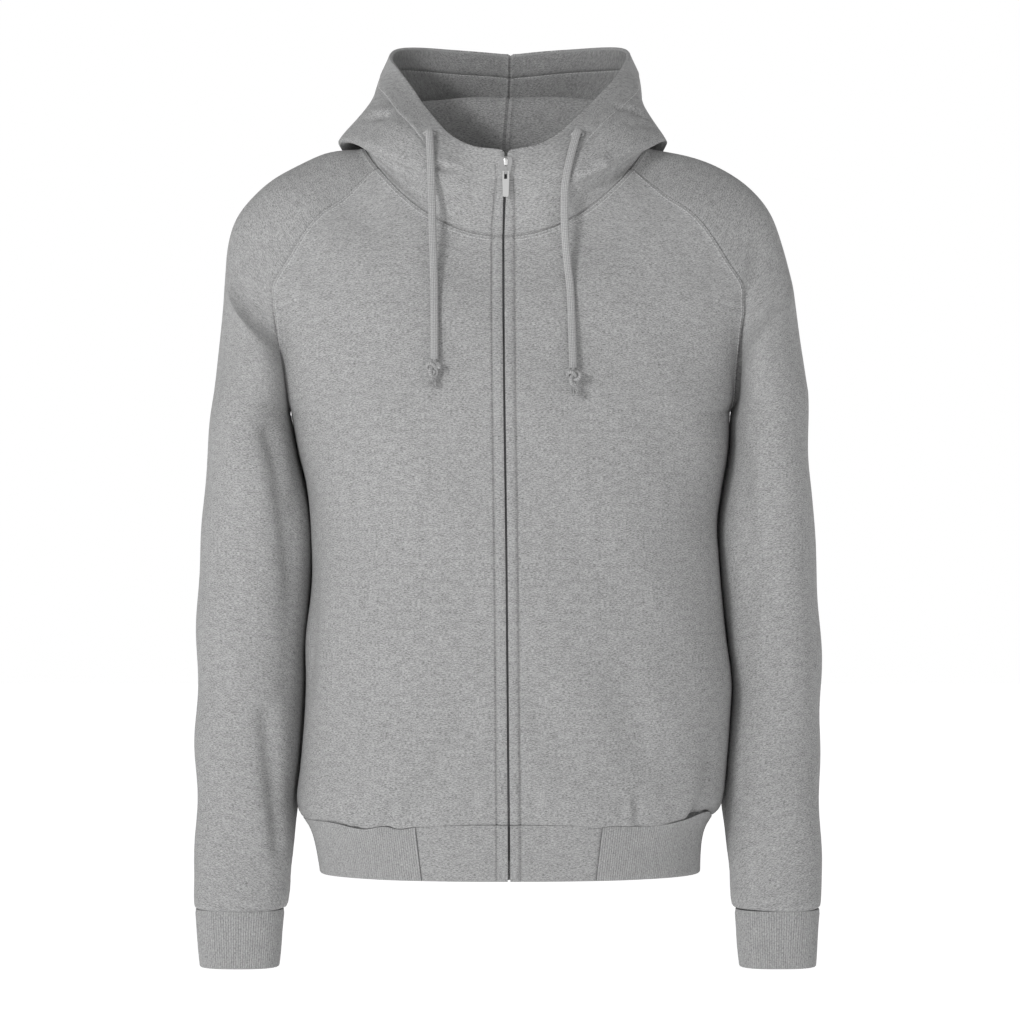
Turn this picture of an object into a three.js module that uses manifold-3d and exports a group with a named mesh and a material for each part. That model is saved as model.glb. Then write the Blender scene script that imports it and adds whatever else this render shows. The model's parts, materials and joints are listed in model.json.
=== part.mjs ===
// Raglan zip up hoodie, filled out with no wearer. Millimetres, +Z up, the front faces -Y.
// Left and right are the wearer's: the wearer's left is at +X.
// The origin is at the middle of the neck opening, level with the shoulders that carry the garment.
import * as THREE from 'three';
import { mergeVertices } from 'three/addons/utils/BufferGeometryUtils.js';
import Module from 'manifold-3d';

// Driving sizes
const CLOTH = 2.1;
const RIB_CLOTH = 3.0;
const HALF_SEAM = 0.15;
const HEM_Z = -681;
const BAND_TOP_Z = -628.5;
const ARMPIT_Z = -246;
const NECK_FRONT_Z = -83;
const NECK_BACK_Z = 2;
const ZIP_HALF_GAP = 1.3;
const ZIP_BAND_WIDTH = 11;
const ZIP_BAND_RISE = 0.8;
const FACE_HEM_RISE = 0.7;
const CUFF_RIB_PITCH = 2.1;
const HEM_RIB_PITCH = 2.2;
const RIB_HEIGHT = 0.55;
const CUFF_TOP_Z = -716;
const CUFF_END_Z = -770;

// Columns and rows of the panels
const FRONT_COLUMNS = 8;
const BACK_COLUMNS = 14;
const SLEEVE_COLUMNS = 16;
const CAP_ROWS = 9;
const JERSEY_COLUMNS = 5;
const CUFF_COLUMNS = 96;
const CUFF_INNER_COLUMNS = 32;
const HEM_QUARTER_COLUMNS = 40;
const HEM_INNER_COLUMNS = 48;

const clamp01 = (value) => THREE.MathUtils.clamp(value, 0, 1);
const mix = (a, b, t) => a + (b - a) * t;
const ease = (from, to, value) => THREE.MathUtils.smoothstep(value, from, to);
const vec = (x, y, z) => new THREE.Vector3(x, y, z);

// Reads rows of numbers as objects with named columns.
function table(columns, rows) {
  return rows.map((row) => Object.fromEntries(columns.map((name, i) => [name, row[i]])));
}

// A smooth value between listed values: cubics whose slopes come from the neighbouring rows.
function smooth(keys, values, key) {
  const last = keys.length - 1;
  const k = THREE.MathUtils.clamp(key, keys[0], keys[last]);
  let i = 0;
  while (i < last - 1 && k > keys[i + 1]) i += 1;
  const slope = (j) => {
    const before = Math.max(j - 1, 0);
    const after = Math.min(j + 1, last);
    return (values[after] - values[before]) / (keys[after] - keys[before]);
  };
  const step = keys[i + 1] - keys[i];
  const t = (k - keys[i]) / step;
  const t2 = t * t;
  const t3 = t2 * t;
  const own = values[i] * (2 * t3 - 3 * t2 + 1) + values[i + 1] * (3 * t2 - 2 * t3);
  return own + step * (slope(i) * (t3 - 2 * t2 + t) + slope(i + 1) * (t3 - t2));
}

// One column of a table, read at a value of its key column.
function column(rows, keyName, key, name) {
  return smooth(rows.map((row) => row[keyName]), rows.map((row) => row[name]), key);
}

// Running lengths along a list of points.
function runningLengths(points) {
  const lengths = [0];
  for (let i = 1; i < points.length; i += 1) {
    lengths.push(lengths[i - 1] + points[i].distanceTo(points[i - 1]));
  }
  return lengths;
}

const lengthOf = (points) => runningLengths(points)[points.length - 1];
const fractions = (points) => runningLengths(points).map((length) => length / lengthOf(points));

// A smooth curve through points, read at a fraction of its length.
function along(points, fraction) {
  const keys = fractions(points);
  const read = (axis) => smooth(keys, points.map((point) => point[axis]), fraction);
  return vec(read('x'), read('y'), read('z'));
}

// How far the whole upper garment sits to one side of the middle plane, by height.
const LEAN = table(['z', 'x'], [
  [-246, 2.5], [-190, 0], [-140, -1.5], [-60, -4.2], [8, -4.6], [40, -2.5], [62, 1.5], [110, 2.5],
]);
const lean = (z) => column(LEAN, 'z', z, 'x');

// The line of the zip: its place across the front, and how far forward it stands.
const ZIP_LINE = table(['z', 'x', 'y'], [
  [-681, 1.0, -116], [-655, 0.9, -117.5], [-628.5, 0.8, -118.5], [-606, 0.6, -125], [-560, 0.2, -127.5],
  [-400, -1.2, -127.5], [-300, -2.4, -126.5], [-246, -3.2, -124], [-200, -3.7, -118.5],
  [-150, -4.1, -107.5], [-110, -4.2, -93.5], [-83, -4.2, -85.5], [-66, -3.7, -88], [-50, -3.2, -91],
  [-38, -2.7, -93], [-24, -2.2, -95], [-15, -1.9, -96], [-6, -1.6, -96.5],
]);
const zipX = (z) => column(ZIP_LINE, 'z', z, 'x');
const zipY = (z) => column(ZIP_LINE, 'z', z, 'y');

// Body rings from the waistband seam to the armpit: the side edges, and the middle of the back.
const BODY = table(['z', 'left', 'right', 'back'], [
  [-628.5, 190, -187, 108.5], [-621, 199, -195.5, 113.5], [-608, 204, -199.5, 116],
  [-580, 207, -197, 115.5], [-540, 210, -193.5, 113], [-503, 212, -192, 111],
  [-460, 207, -191.5, 110], [-420, 203, -187.5, 111], [-385, 200, -185.5, 113],
  [-350, 198.5, -186, 116], [-316, 203, -191, 119], [-283, 208.5, -199, 122], [-246, 211, -206, 124],
]);
const BODY_ROUNDNESS = 2.35;

// Middle of the upper back, from the armpit's height to the neck seam.
const UPPER_BACK = table(['z', 'y'], [
  [-246, 124], [-180, 123], [-120, 116], [-70, 103], [-30, 86], [2, 60],
]);

// Raglan seams of one side, from the armpit to the neck; the armpit itself is the body's side edge.
const RAGLAN_FRONT = [
  vec(211.5, -18, -232), vec(214, -34, -208), vec(217, -46, -174), vec(222, -54, -140),
  vec(221, -57, -128), vec(206, -61, -104), vec(190, -63, -79), vec(175, -62, -62),
  vec(152, -58, -46), vec(118, -48, -17),
];
const RAGLAN_BACK = [
  vec(211, 20, -232), vec(209, 40, -212), vec(206, 62, -178), vec(196, 80, -142), vec(178, 88, -105),
  vec(150, 86, -62), vec(120, 74, -27), vec(86, 48, 5),
];

// The shoulder and outer arm line that each cap row of the sleeve passes over, armpit row first.
const SHOULDER_LINE = table(['x', 'y', 'z'], [
  [281.5, 2, -226], [277.6, 3, -190], [273.5, 4, -155], [269, 4, -120], [262.5, 4, -86],
  [252, 3, -56], [234, 2, -32], [208, 0, -14], [172, -4, 1], [131, -11, 6],
]);

// Rings of the hanging sleeve: the outer edge, the inner edge on each side, and its depth.
const SLEEVE = table(['z', 'outer', 'innerLeft', 'innerRight', 'middle', 'depth'], [
  [-286, 285, 212.5, 201.5, 0, 73], [-322, 288, 206.5, 193.5, 1, 70], [-358, 290.5, 202, 189.5, 2, 66],
  [-394, 292.5, 203, 188.5, 3, 63], [-430, 294, 207, 191.5, 4, 61], [-466, 295, 211.5, 195, 4, 58],
  [-502, 296, 215.5, 195.5, 3, 55], [-538, 296, 214, 198, 1, 52], [-574, 296.5, 211.5, 199.5, -2, 49],
  [-610, 297, 208.5, 202.5, -5, 46.5], [-645, 297.2, 207.5, 202.5, -8, 44],
  [-678, 297.4, 209.5, 205.5, -10, 42], [-700, 298, 210.5, 207, -11, 41],
  [-711, 297.5, 212, 209, -11.5, 39], [-715.7, 295.5, 214, 211, -12, 36],
]);
const SLEEVE_ROUNDNESS = 2.2;
const CUFF_ROUNDNESS = 2.3;

// Cuff rings, top and end.
const CUFF = table(['z', 'outer', 'innerLeft', 'innerRight', 'middle', 'depth'], [
  [CUFF_END_Z, 294, 220, 216, -13, 30], [CUFF_TOP_Z, 296, 214.5, 211.5, -12, 34.5],
]);

// Waistband rings, bottom and top.
const BAND = table(['z', 'left', 'right', 'front', 'back'], [
  [HEM_Z, 182, -178, -116, 104], [BAND_TOP_Z, 188, -184, -118.5, 108.5],
]);
const JERSEY_END_TOP = 86;
const JERSEY_END_BOTTOM = 80;

// Hood sections from the neck seam to the face edge, by their place along half the neck seam.
// Each goes up to the roll, falls behind it, turns at the bottom of the bag and rises to the face edge.
const HOOD_PLACES = [0, 0.12, 0.24, 0.36, 0.5, 0.62, 0.75, 0.88, 1];
const HOOD = {
  roll: [[0, -88, -66], [45, -88, -62], [86, -72, -38], [119, -50, -10], [138, -13, 13], [125, 35, 22],
    [93, 60, 42], [50, 75, 56], [0, 80, 60]],
  fall: [[0, -91, -50], [45, -92, -47], [88, -80, -28], [123, -57, -5], [149, -12, 10], [138, 44, 8],
    [106, 86, 0], [58, 101, -12], [0, 106, -20]],
  bottom: [[0, -93, -38], [44, -95, -34], [85, -88, -18], [123, -62, 3], [157, -8, 14], [151, 53, -3],
    [119, 108, -56], [66, 126, -102], [0, 131, -119]],
  rise: [[0, -95, -24], [40, -94, -20], [75, -86, -4], [107, -64, 20], [135, -6, 42], [136, 50, 44],
    [131, 112, 10], [78, 152, -22], [0, 164, -32]],
  lip: [[0, -96, -15], [34, -91, -10], [64, -80, 5], [90, -58, 28], [117, -8, 53], [124, 38, 72],
    [121, 86, 78], [75, 122, 68], [0, 136, 60]],
  face: [[0, -96.5, -6], [28, -88.5, -1], [52, -75, 12], [72, -52, 34], [94, -10, 62], [110, 28, 88],
    [113, 62, 106], [70, 98, 109], [0, 108, 105]],
};
const HOOD_STOPS = ['roll', 'fall', 'bottom', 'rise', 'lip', 'face'];
const HOOD_ROWS = [0, 0.5, 0.85, 1.15, 1.5, 2, 2.6, 3, 3.4, 4, 4.6, 5.3, 6];

// Soft troughs and ridges of the cloth: from a to b, how wide and how deep (minus sinks in).
const FOLDS = table(['a', 'b', 'width', 'depth'], [
  [vec(-42, -126, -560), vec(-96, -110, -622), 16, -3.5],
  [vec(105, -115, -480), vec(122, -110, -560), 20, -2.5],
  [vec(-196, -50, -330), vec(-208, -48, -500), 14, -5],
  [vec(-222, -62, -280), vec(-210, -58, -400), 12, -5],
  [vec(-224, -50, -540), vec(-218, -42, -650), 12, -4],
  [vec(222, -58, -300), vec(228, -56, -420), 14, -3],
  [vec(188, -60, -570), vec(180, -62, -618), 12, -5],
  [vec(-60, 118, -300), vec(-20, 116, -420), 22, -3],
  [vec(70, 118, -200), vec(110, 112, -330), 22, -3],
  [vec(-120, 96, -560), vec(-110, 96, -615), 16, -4],
  [vec(60, 112, -575), vec(64, 112, -618), 15, -4],
  [vec(250, 56, -380), vec(230, 60, -430), 14, -4],
  [vec(-246, 58, -400), vec(-226, 60, -460), 14, -4],
]);

// How far the folds move a point of the cloth along its normal.
function foldDepth(point) {
  let depth = 0;
  for (const fold of FOLDS) {
    const span = fold.b.clone().sub(fold.a);
    const t = clamp01(point.clone().sub(fold.a).dot(span) / span.lengthSq());
    const distance = point.distanceTo(fold.a.clone().addScaledVector(span, t)) / fold.width;
    depth += fold.depth * Math.exp(-distance * distance);
  }
  return depth;
}

// Body panels

// Superellipse step: the share across a half width for a share of the columns.
const roundStep = (u) => Math.sin(u * Math.PI / 2) ** (2 / BODY_ROUNDNESS);

const SIDE_NAME = { 1: 'left', '-1': 'right' };

function raglanCurve(points, side) {
  const armpit = vec(column(BODY, 'z', ARMPIT_Z, SIDE_NAME[side]), 0, ARMPIT_Z);
  return [armpit, ...points.map((point) => vec(point.x * side + lean(point.z), point.y, point.z))];
}

// How far a row has turned from a closed ring, at the armpit, to an open arc, by its lift.
const openness = (lift) => ease(0.02, 0.45, lift);

// How sharply a row bends towards its end: like a ring, like a shoulder, and like the neck's edge.
const RING_BEND = 1 / BODY_ROUNDNESS;
const SHOULDER_BEND = 0.95;
const NECK_BEND = 0.5;
const NECK_BEND_FROM = 0.8;
const ROW_SAG = 1.2;

// One row of a front or back panel, from its middle edge to its side edge.
// lift is 0 up to the armpit and 1 at the neck; the row grows flatter at its end as it rises.
function bodyRow(middle, end, lift, u) {
  const open = openness(lift);
  const across = mix(roundStep(u), u, open);
  const openBend = mix(SHOULDER_BEND, NECK_BEND, ease(NECK_BEND_FROM, 1, lift));
  const bend = Math.max(1 - across ** BODY_ROUNDNESS, 0) ** mix(RING_BEND, openBend, open);
  return vec(
    mix(middle.x, end.x, across),
    mix(end.y, middle.y, bend),
    mix(middle.z, end.z, across ** (1 + ROW_SAG * lift)),
  );
}

// Heights of the rows below the armpit, close together at the waistband.
const LOWER_ROWS = [-628.5, -621, -608, -584, -550, -512, -474, -436, -398, -360, -322, -284];

// The column place at which a row has gone a given share of its way across, found by halving.
const HALVINGS = 30;
function acrossFor(share, lift) {
  const open = openness(lift);
  let low = 0;
  let high = 1;
  for (let i = 0; i < HALVINGS; i += 1) {
    const u = (low + high) / 2;
    if (mix(roundStep(u), u, open) < share) low = u;
    else high = u;
  }
  return (low + high) / 2;
}

// Column places from the zip to a row's end: the zip's edge, the two sides of its stitched step, the rest.
function zipColumns(step, end, columns) {
  const before = step * 0.92;
  const after = step * 1.12;
  const row = [0, before];
  for (let i = 0; i < columns; i += 1) row.push(mix(after, end, i / (columns - 1)));
  return row;
}

function frontPanel(side) {
  const seam = raglanCurve(RAGLAN_FRONT, side);
  const grid = [];
  const addRow = (middleZ, end, lift) => {
    const middle = vec(zipX(middleZ) + ZIP_HALF_GAP * side, zipY(middleZ), middleZ);
    const step = acrossFor(ZIP_BAND_WIDTH / Math.abs(end.x - middle.x), lift);
    grid.push(zipColumns(step, 1, FRONT_COLUMNS).map((u) => bodyRow(middle, end, lift, u)));
  };
  for (const z of LOWER_ROWS) addRow(z, vec(column(BODY, 'z', z, SIDE_NAME[side]), 0, z), 0);
  for (let i = 0; i <= CAP_ROWS; i += 1) {
    const lift = i / CAP_ROWS;
    addRow(mix(ARMPIT_Z, NECK_FRONT_Z, lift), along(seam, lift), lift);
  }
  return grid;
}

function backPanel() {
  const grid = [];
  const half = BACK_COLUMNS / 2;
  const addRow = (middle, ends, lift) => {
    const row = [];
    for (let i = -half; i <= half; i += 1) {
      const end = i < 0 ? ends.right : ends.left;
      row.push(bodyRow(middle, end, lift, Math.abs(i) / half));
    }
    grid.push(row);
  };
  for (const z of LOWER_ROWS) {
    const left = vec(column(BODY, 'z', z, 'left'), 0, z);
    const right = vec(column(BODY, 'z', z, 'right'), 0, z);
    addRow(vec((left.x + right.x) / 2, column(BODY, 'z', z, 'back'), z), { left, right }, 0);
  }
  const seams = { left: raglanCurve(RAGLAN_BACK, 1), right: raglanCurve(RAGLAN_BACK, -1) };
  for (let i = 0; i <= CAP_ROWS; i += 1) {
    const lift = i / CAP_ROWS;
    const z = mix(ARMPIT_Z, NECK_BACK_Z, lift);
    const middle = vec(lean(z), column(UPPER_BACK, 'z', z, 'y'), z);
    addRow(middle, { left: along(seams.left, lift), right: along(seams.right, lift) }, lift);
  }
  return grid;
}

// Sleeves

function bezier(a, b, c, d, t) {
  const s = 1 - t;
  return a.clone().multiplyScalar(s * s * s)
    .addScaledVector(b, 3 * s * s * t)
    .addScaledVector(c, 3 * s * t * t)
    .addScaledVector(d, t * t * t);
}

// Direction in which a panel's row reaches its end.
function rowHeading(row) {
  const last = row.length - 1;
  return row[last].clone().sub(row[last - 1]).normalize();
}

// The sleeve's rows from the neck seam down to the cuff; those of the cap are open at the raglan seams.
// A cap row is two curves that meet on the shoulder line. Near the armpit their handles give the row
// the depth of the first sleeve ring, and near the neck they are shares of the distance they span.
const SEAM_HANDLE = 0.4;
const CROWN_HANDLE = 0.38;
const BEZIER_FULLNESS = 4 / 3;
function sleevePanel(side, frontGrid, backGrid) {
  const grid = [];
  const half = SLEEVE_COLUMNS / 2;
  const firstCap = LOWER_ROWS.length;
  for (let i = CAP_ROWS; i >= 0; i -= 1) {
    const lift = i / CAP_ROWS;
    const frontRow = frontGrid[firstCap + i];
    const backFull = backGrid[firstCap + i];
    const backRow = side > 0 ? backFull.slice(half - 1) : backFull.slice(0, half).reverse();
    const top = SHOULDER_LINE[i];
    const crown = vec(top.x * side + lean(top.z), top.y, top.z);
    const turned = ease(0.1, 0.55, lift);
    const row = [];
    [[frontRow, -1], [backRow, 1]].forEach(([panelRow, way]) => {
      const seam = panelRow[panelRow.length - 1];
      const facing = vec(0, way, 0);
      const start = facing.clone().lerp(rowHeading(panelRow), turned).normalize();
      const reach = seam.distanceTo(crown);
      const full = (SLEEVE[0].depth - (Math.abs(seam.y) + Math.abs(crown.y)) / 2) * BEZIER_FULLNESS;
      const first = seam.clone().addScaledVector(start, mix(full, reach * SEAM_HANDLE, turned));
      const second = crown.clone().addScaledVector(facing, mix(full, reach * CROWN_HANDLE, turned));
      for (let k = 0; k <= half; k += 1) {
        if (way < 0) row.push(bezier(seam, first, second, crown, k / half));
        else if (k > 0) row.push(bezier(crown, second, first, seam, k / half));
      }
    });
    grid.push(row);
  }
  const inner = side > 0 ? 'innerLeft' : 'innerRight';
  for (const ring of SLEEVE) grid.push(tubeRow(ring, inner, side, SLEEVE_COLUMNS, SLEEVE_ROUNDNESS));
  return grid;
}

// A level ring, from its inner side round the front and the outer side and back again.
function tubeRow(ring, inner, side, columns, roundness) {
  const centre = (ring.outer + ring[inner]) / 2;
  const halfWidth = (ring.outer - ring[inner]) / 2;
  const row = [];
  for (let k = 0; k <= columns; k += 1) {
    const angle = (k / columns) * 2 * Math.PI;
    const power = 2 / roundness;
    const c = Math.cos(angle);
    const s = Math.sin(angle);
    row.push(vec(
      side * (centre - halfWidth * Math.sign(c) * Math.abs(c) ** power),
      ring.middle - ring.depth * Math.sign(s) * Math.abs(s) ** power,
      ring.z,
    ));
  }
  row[columns].copy(row[0]);
  return row;
}

// Hood

// Beside the zip a section stands on the zip's line; from the second place on it stands on the leaning
// middle plane.
function hoodPanel(side, neckRow) {
  const places = fractions(neckRow);
  const besideZip = HOOD_PLACES[1];
  const columns = neckRow.map((neck, c) => {
    const stops = HOOD_STOPS.map((name) => {
      const read = (axis) => smooth(HOOD_PLACES, HOOD[name].map((row) => row[axis]), places[c]);
      const z = read(2);
      const away = clamp01(places[c] / besideZip);
      const shift = mix(zipX(z) + ZIP_HALF_GAP * side, lean(z), away);
      return vec(read(0) * side + shift, read(1), z);
    });
    const points = [neck, ...stops];
    const keys = fractions(points);
    return HOOD_ROWS.map((stop) => {
      const i = Math.min(Math.floor(stop), points.length - 2);
      return along(points, mix(keys[i], keys[i + 1], stop - i));
    });
  });
  return HOOD_ROWS.map((_, r) => columns.map((points) => points[r]));
}

// Walls

const keyOf = (point) => [point.x, point.y, point.z].map((v) => Math.round(v * 100)).join(' ');

// Adds each panel's facing to a shared record, so that panels that meet at a seam share its normal.
function addNormals(normals, grid, flip) {
  for (let r = 0; r + 1 < grid.length; r += 1) {
    for (let c = 0; c + 1 < grid[r].length; c += 1) {
      const corners = [grid[r][c], grid[r][c + 1], grid[r + 1][c + 1], grid[r + 1][c]];
      const one = corners[2].clone().sub(corners[0]);
      const two = corners[3].clone().sub(corners[1]);
      const facing = one.cross(two).multiplyScalar(flip ? -1 : 1);
      for (const corner of corners) {
        const key = keyOf(corner);
        if (!normals.has(key)) normals.set(key, vec(0, 0, 0));
        normals.get(key).add(facing);
      }
    }
  }
}

// Collects triangles on shared vertices.
class Shell {
  constructor() {
    this.points = [];
    this.faces = [];
    this.known = new Map();
  }

  add(point) {
    const key = [point.x, point.y, point.z].map((v) => Math.round(v * 2000)).join(' ');
    if (!this.known.has(key)) {
      this.known.set(key, this.points.length);
      this.points.push(point);
    }
    return this.known.get(key);
  }

  triangle(a, b, c) {
    if (a !== b && b !== c && c !== a) this.faces.push(a, b, c);
  }

  quad(a, b, c, d) {
    this.triangle(a, b, c);
    this.triangle(a, c, d);
  }

  // The finished body, turned so that its faces point out.
  geometry() {
    let volume = 0;
    for (let i = 0; i < this.faces.length; i += 3) {
      const [a, b, c] = this.faces.slice(i, i + 3).map((index) => this.points[index]);
      volume += a.dot(b.clone().cross(c));
    }
    const geometry = new THREE.BufferGeometry();
    const numbers = this.points.flatMap((point) => [point.x, point.y, point.z]);
    geometry.setAttribute('position', new THREE.Float32BufferAttribute(numbers, 3));
    geometry.setIndex(volume < 0 ? this.faces.slice().reverse() : this.faces);
    geometry.computeVertexNormals();
    return geometry;
  }
}

// A closed body between an outer and an inner grid of the same size.
// From row closedFrom on, the two side edges are one line and the body is a tube.
function slab(outer, inner, closedFrom = Infinity) {
  const rows = outer.length;
  const shell = new Shell();
  const out = outer.map((row) => row.map((point) => shell.add(point)));
  const ins = inner.map((row) => row.map((point) => shell.add(point)));
  const last = outer[0].length - 1;
  for (let r = 0; r + 1 < rows; r += 1) {
    for (let c = 0; c < last; c += 1) {
      shell.quad(out[r][c], out[r][c + 1], out[r + 1][c + 1], out[r + 1][c]);
      shell.quad(ins[r][c], ins[r + 1][c], ins[r + 1][c + 1], ins[r][c + 1]);
    }
    if (r < closedFrom) {
      shell.quad(out[r][0], out[r + 1][0], ins[r + 1][0], ins[r][0]);
      shell.quad(out[r][last], ins[r][last], ins[r + 1][last], out[r + 1][last]);
    }
  }
  const end = rows - 1;
  for (let c = 0; c < last; c += 1) {
    shell.quad(out[0][c], ins[0][c], ins[0][c + 1], out[0][c + 1]);
    shell.quad(out[end][c], out[end][c + 1], ins[end][c + 1], ins[end][c]);
  }
  return shell.geometry();
}

// A cloth wall on a grid: each open edge drawn back by half a seam gap, and the cloth set in along
// the shared normals. rise lifts the outer side alone.
function wall(grid, normals, { thickness = CLOTH, closedFrom = Infinity, rise = () => 0 } = {}) {
  const rows = grid.length;
  const outer = [];
  const inner = [];
  grid.forEach((row, r) => {
    outer.push([]);
    inner.push([]);
    const last = row.length - 1;
    row.forEach((point, c) => {
      const moved = point.clone();
      const normal = normals.get(keyOf(point)).clone().normalize();
      const drawBack = (edge, inward) => {
        const across = edge.cross(normal).normalize();
        moved.addScaledVector(across, across.dot(inward) < 0 ? -HALF_SEAM : HALF_SEAM);
      };
      if (r === 0 || r === rows - 1) {
        const ring = r >= closedFrom;
        const before = ring && c === 0 ? row[last - 1] : row[Math.max(c - 1, 0)];
        const after = ring && c === last ? row[1] : row[Math.min(c + 1, last)];
        drawBack(after.clone().sub(before), grid[r === 0 ? 1 : rows - 2][c].clone().sub(point));
      }
      const side = c === 0 || c === last;
      if (side && r < closedFrom) {
        const edge = grid[Math.min(r + 1, rows - 1)][c].clone().sub(grid[Math.max(r - 1, 0)][c]);
        drawBack(edge, row[c === 0 ? 1 : last - 1].clone().sub(point));
      }
      if (side && r === closedFrom) {
        const inward = row[1].clone().add(row[last - 1]).addScaledVector(point, -2).normalize();
        moved.addScaledVector(inward, HALF_SEAM);
      }
      const fold = foldDepth(moved);
      outer[r].push(moved.clone().addScaledVector(normal, fold + rise(r, c)));
      inner[r].push(moved.clone().addScaledVector(normal, fold - thickness));
    });
  });
  return slab(outer, inner, closedFrom);
}

// A level ring or arc as evenly spaced places: reads a point at a share of its length, set outwards.
function outlineOf(points, outwards) {
  const keys = fractions(points);
  return (share, outset) => {
    let i = 0;
    while (i < keys.length - 2 && share > keys[i + 1]) i += 1;
    const t = (share - keys[i]) / (keys[i + 1] - keys[i]);
    const heading = points[i + 1].clone().sub(points[i]).normalize();
    const normal = heading.cross(vec(0, 0, outwards));
    return points[i].clone().lerp(points[i + 1], t).addScaledVector(normal, outset);
  };
}

// A ribbed wall between two level edges: ribs raised outside, plain inside.
function ribWall(bottom, top, ribs, innerColumns, closed) {
  const shell = new Shell();
  const steps = ribs * 2;
  const share = (i, count) => (closed && i === count ? 0 : i / count);
  const edges = [bottom, top].map((outline) => {
    const outer = [];
    const inner = [];
    for (let i = 0; i <= steps; i += 1) {
      outer.push(shell.add(outline(share(i, steps), i % 2 ? 0 : RIB_HEIGHT)));
    }
    for (let i = 0; i <= innerColumns; i += 1) {
      inner.push(shell.add(outline(share(i, innerColumns), -RIB_CLOTH)));
    }
    return { outer, inner };
  });
  const [low, high] = edges;
  for (let i = 0; i < steps; i += 1) {
    shell.quad(low.outer[i], low.outer[i + 1], high.outer[i + 1], high.outer[i]);
  }
  for (let i = 0; i < innerColumns; i += 1) {
    shell.quad(low.inner[i], high.inner[i], high.inner[i + 1], low.inner[i + 1]);
  }
  edges.forEach(({ outer, inner }, level) => {
    let i = 0;
    let j = 0;
    while (i < steps || j < innerColumns) {
      const outerNext = j === innerColumns || (i < steps && (i + 1) / steps <= (j + 1) / innerColumns);
      const next = outerNext ? outer[i + 1] : inner[j + 1];
      if (level === 0) shell.triangle(outer[i], inner[j], next);
      else shell.triangle(outer[i], next, inner[j]);
      if (outerNext) i += 1;
      else j += 1;
    }
  });
  if (!closed) {
    shell.quad(low.outer[0], high.outer[0], high.inner[0], low.inner[0]);
    shell.quad(low.outer[steps], low.inner[innerColumns], high.inner[innerColumns], high.outer[steps]);
  }
  return shell.geometry();
}

// The garment

const hoodie = new THREE.Group();
const FLEECE = { color: 0x9c9c9c, roughness: 0.95, metalness: 0 };
const RIB = { color: 0x949494, roughness: 0.95, metalness: 0 };
const METAL = { color: 0xc8c8c8, roughness: 0.3, metalness: 1 };

function addPart(name, geometry, look) {
  const mesh = new THREE.Mesh(geometry, new THREE.MeshStandardMaterial(look));
  mesh.name = name;
  hoodie.add(mesh);
  return mesh;
}

const front = { 1: frontPanel(1), '-1': frontPanel(-1) };
const back = backPanel();
const sleeve = {
  1: sleevePanel(1, front[1], back),
  '-1': sleevePanel(-1, front[-1], back),
};

// Half the neck seam, from the zip to the middle of the back, as the panels' own top points.
function neckRow(side) {
  const half = BACK_COLUMNS / 2;
  const backTop = back[back.length - 1];
  const backHalf = side > 0 ? backTop.slice(half).reverse() : backTop.slice(0, half + 1);
  return [...front[side][front[side].length - 1], ...sleeve[side][0].slice(1), ...backHalf.slice(1)];
}
const hood = { 1: hoodPanel(1, neckRow(1)), '-1': hoodPanel(-1, neckRow(-1)) };

// The waistband under the fronts and the back, at its bottom and at its top.
function bandEdge(z) {
  const read = (name) => column(BAND, 'z', z, name);
  const middleBack = vec((read('left') + read('right')) / 2, read('back'), z);
  const quarter = (side, isBack) => (u) => bodyRow(
    isBack ? middleBack : vec(zipX(z) + ZIP_HALF_GAP * side, read('front'), z),
    vec(read(SIDE_NAME[side]), 0, z),
    0,
    u,
  );
  return {
    left: quarter(1, false),
    right: quarter(-1, false),
    backLeft: quarter(1, true),
    backRight: quarter(-1, true),
  };
}
const bandBottom = bandEdge(HEM_Z);
const bandTop = bandEdge(BAND_TOP_Z - HALF_SEAM * 2);

// The place along a waistband quarter that lies a given distance from the zip.
function awayFromZip(quarter, distance) {
  const width = Math.abs(quarter(1).x - quarter(0).x);
  return acrossFor(distance / width, 0);
}

// The jersey piece of the waistband beside the zip, as one row along its bottom and one along its top.
function hemFrontGrid(side) {
  const name = SIDE_NAME[side];
  const row = (quarter, end) => {
    const step = awayFromZip(quarter, ZIP_BAND_WIDTH);
    return zipColumns(step, awayFromZip(quarter, end), JERSEY_COLUMNS).map(quarter);
  };
  return [row(bandBottom[name], JERSEY_END_BOTTOM), row(bandTop[name], JERSEY_END_TOP)];
}
const hemFront = { 1: hemFrontGrid(1), '-1': hemFrontGrid(-1) };

const normals = new Map();
for (const side of [1, -1]) {
  addNormals(normals, front[side], side < 0);
  addNormals(normals, sleeve[side], side > 0);
  addNormals(normals, hood[side], side < 0);
  addNormals(normals, hemFront[side], side < 0);
}
addNormals(normals, back, true);
// The point where all panels meet under the arm is set in straight down.
for (const side of [1, -1]) {
  const armpit = sleeve[side][CAP_ROWS][0];
  normals.set(keyOf(armpit), vec(0, 0, -1));
}

for (const side of [1, -1]) {
  const name = SIDE_NAME[side];
  const zipBand = (r, c) => (c < 2 ? ZIP_BAND_RISE : 0);
  const faceHem = (r, c) => (r >= HOOD_ROWS.length - 2 ? FACE_HEM_RISE : zipBand(r, c));
  addPart(`front_${name}`, wall(front[side], normals, { rise: zipBand }), FLEECE);
  addPart(`sleeve_${name}`, wall(sleeve[side], normals, { closedFrom: CAP_ROWS }), FLEECE);
  addPart(`hood_${name}`, wall(hood[side], normals, { rise: faceHem }), FLEECE);
  const doubled = { thickness: RIB_CLOTH, rise: zipBand };
  addPart(`hem_front_${name}`, wall(hemFront[side], normals, doubled), FLEECE);
}
addPart('back', wall(back, normals), FLEECE);

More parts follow.
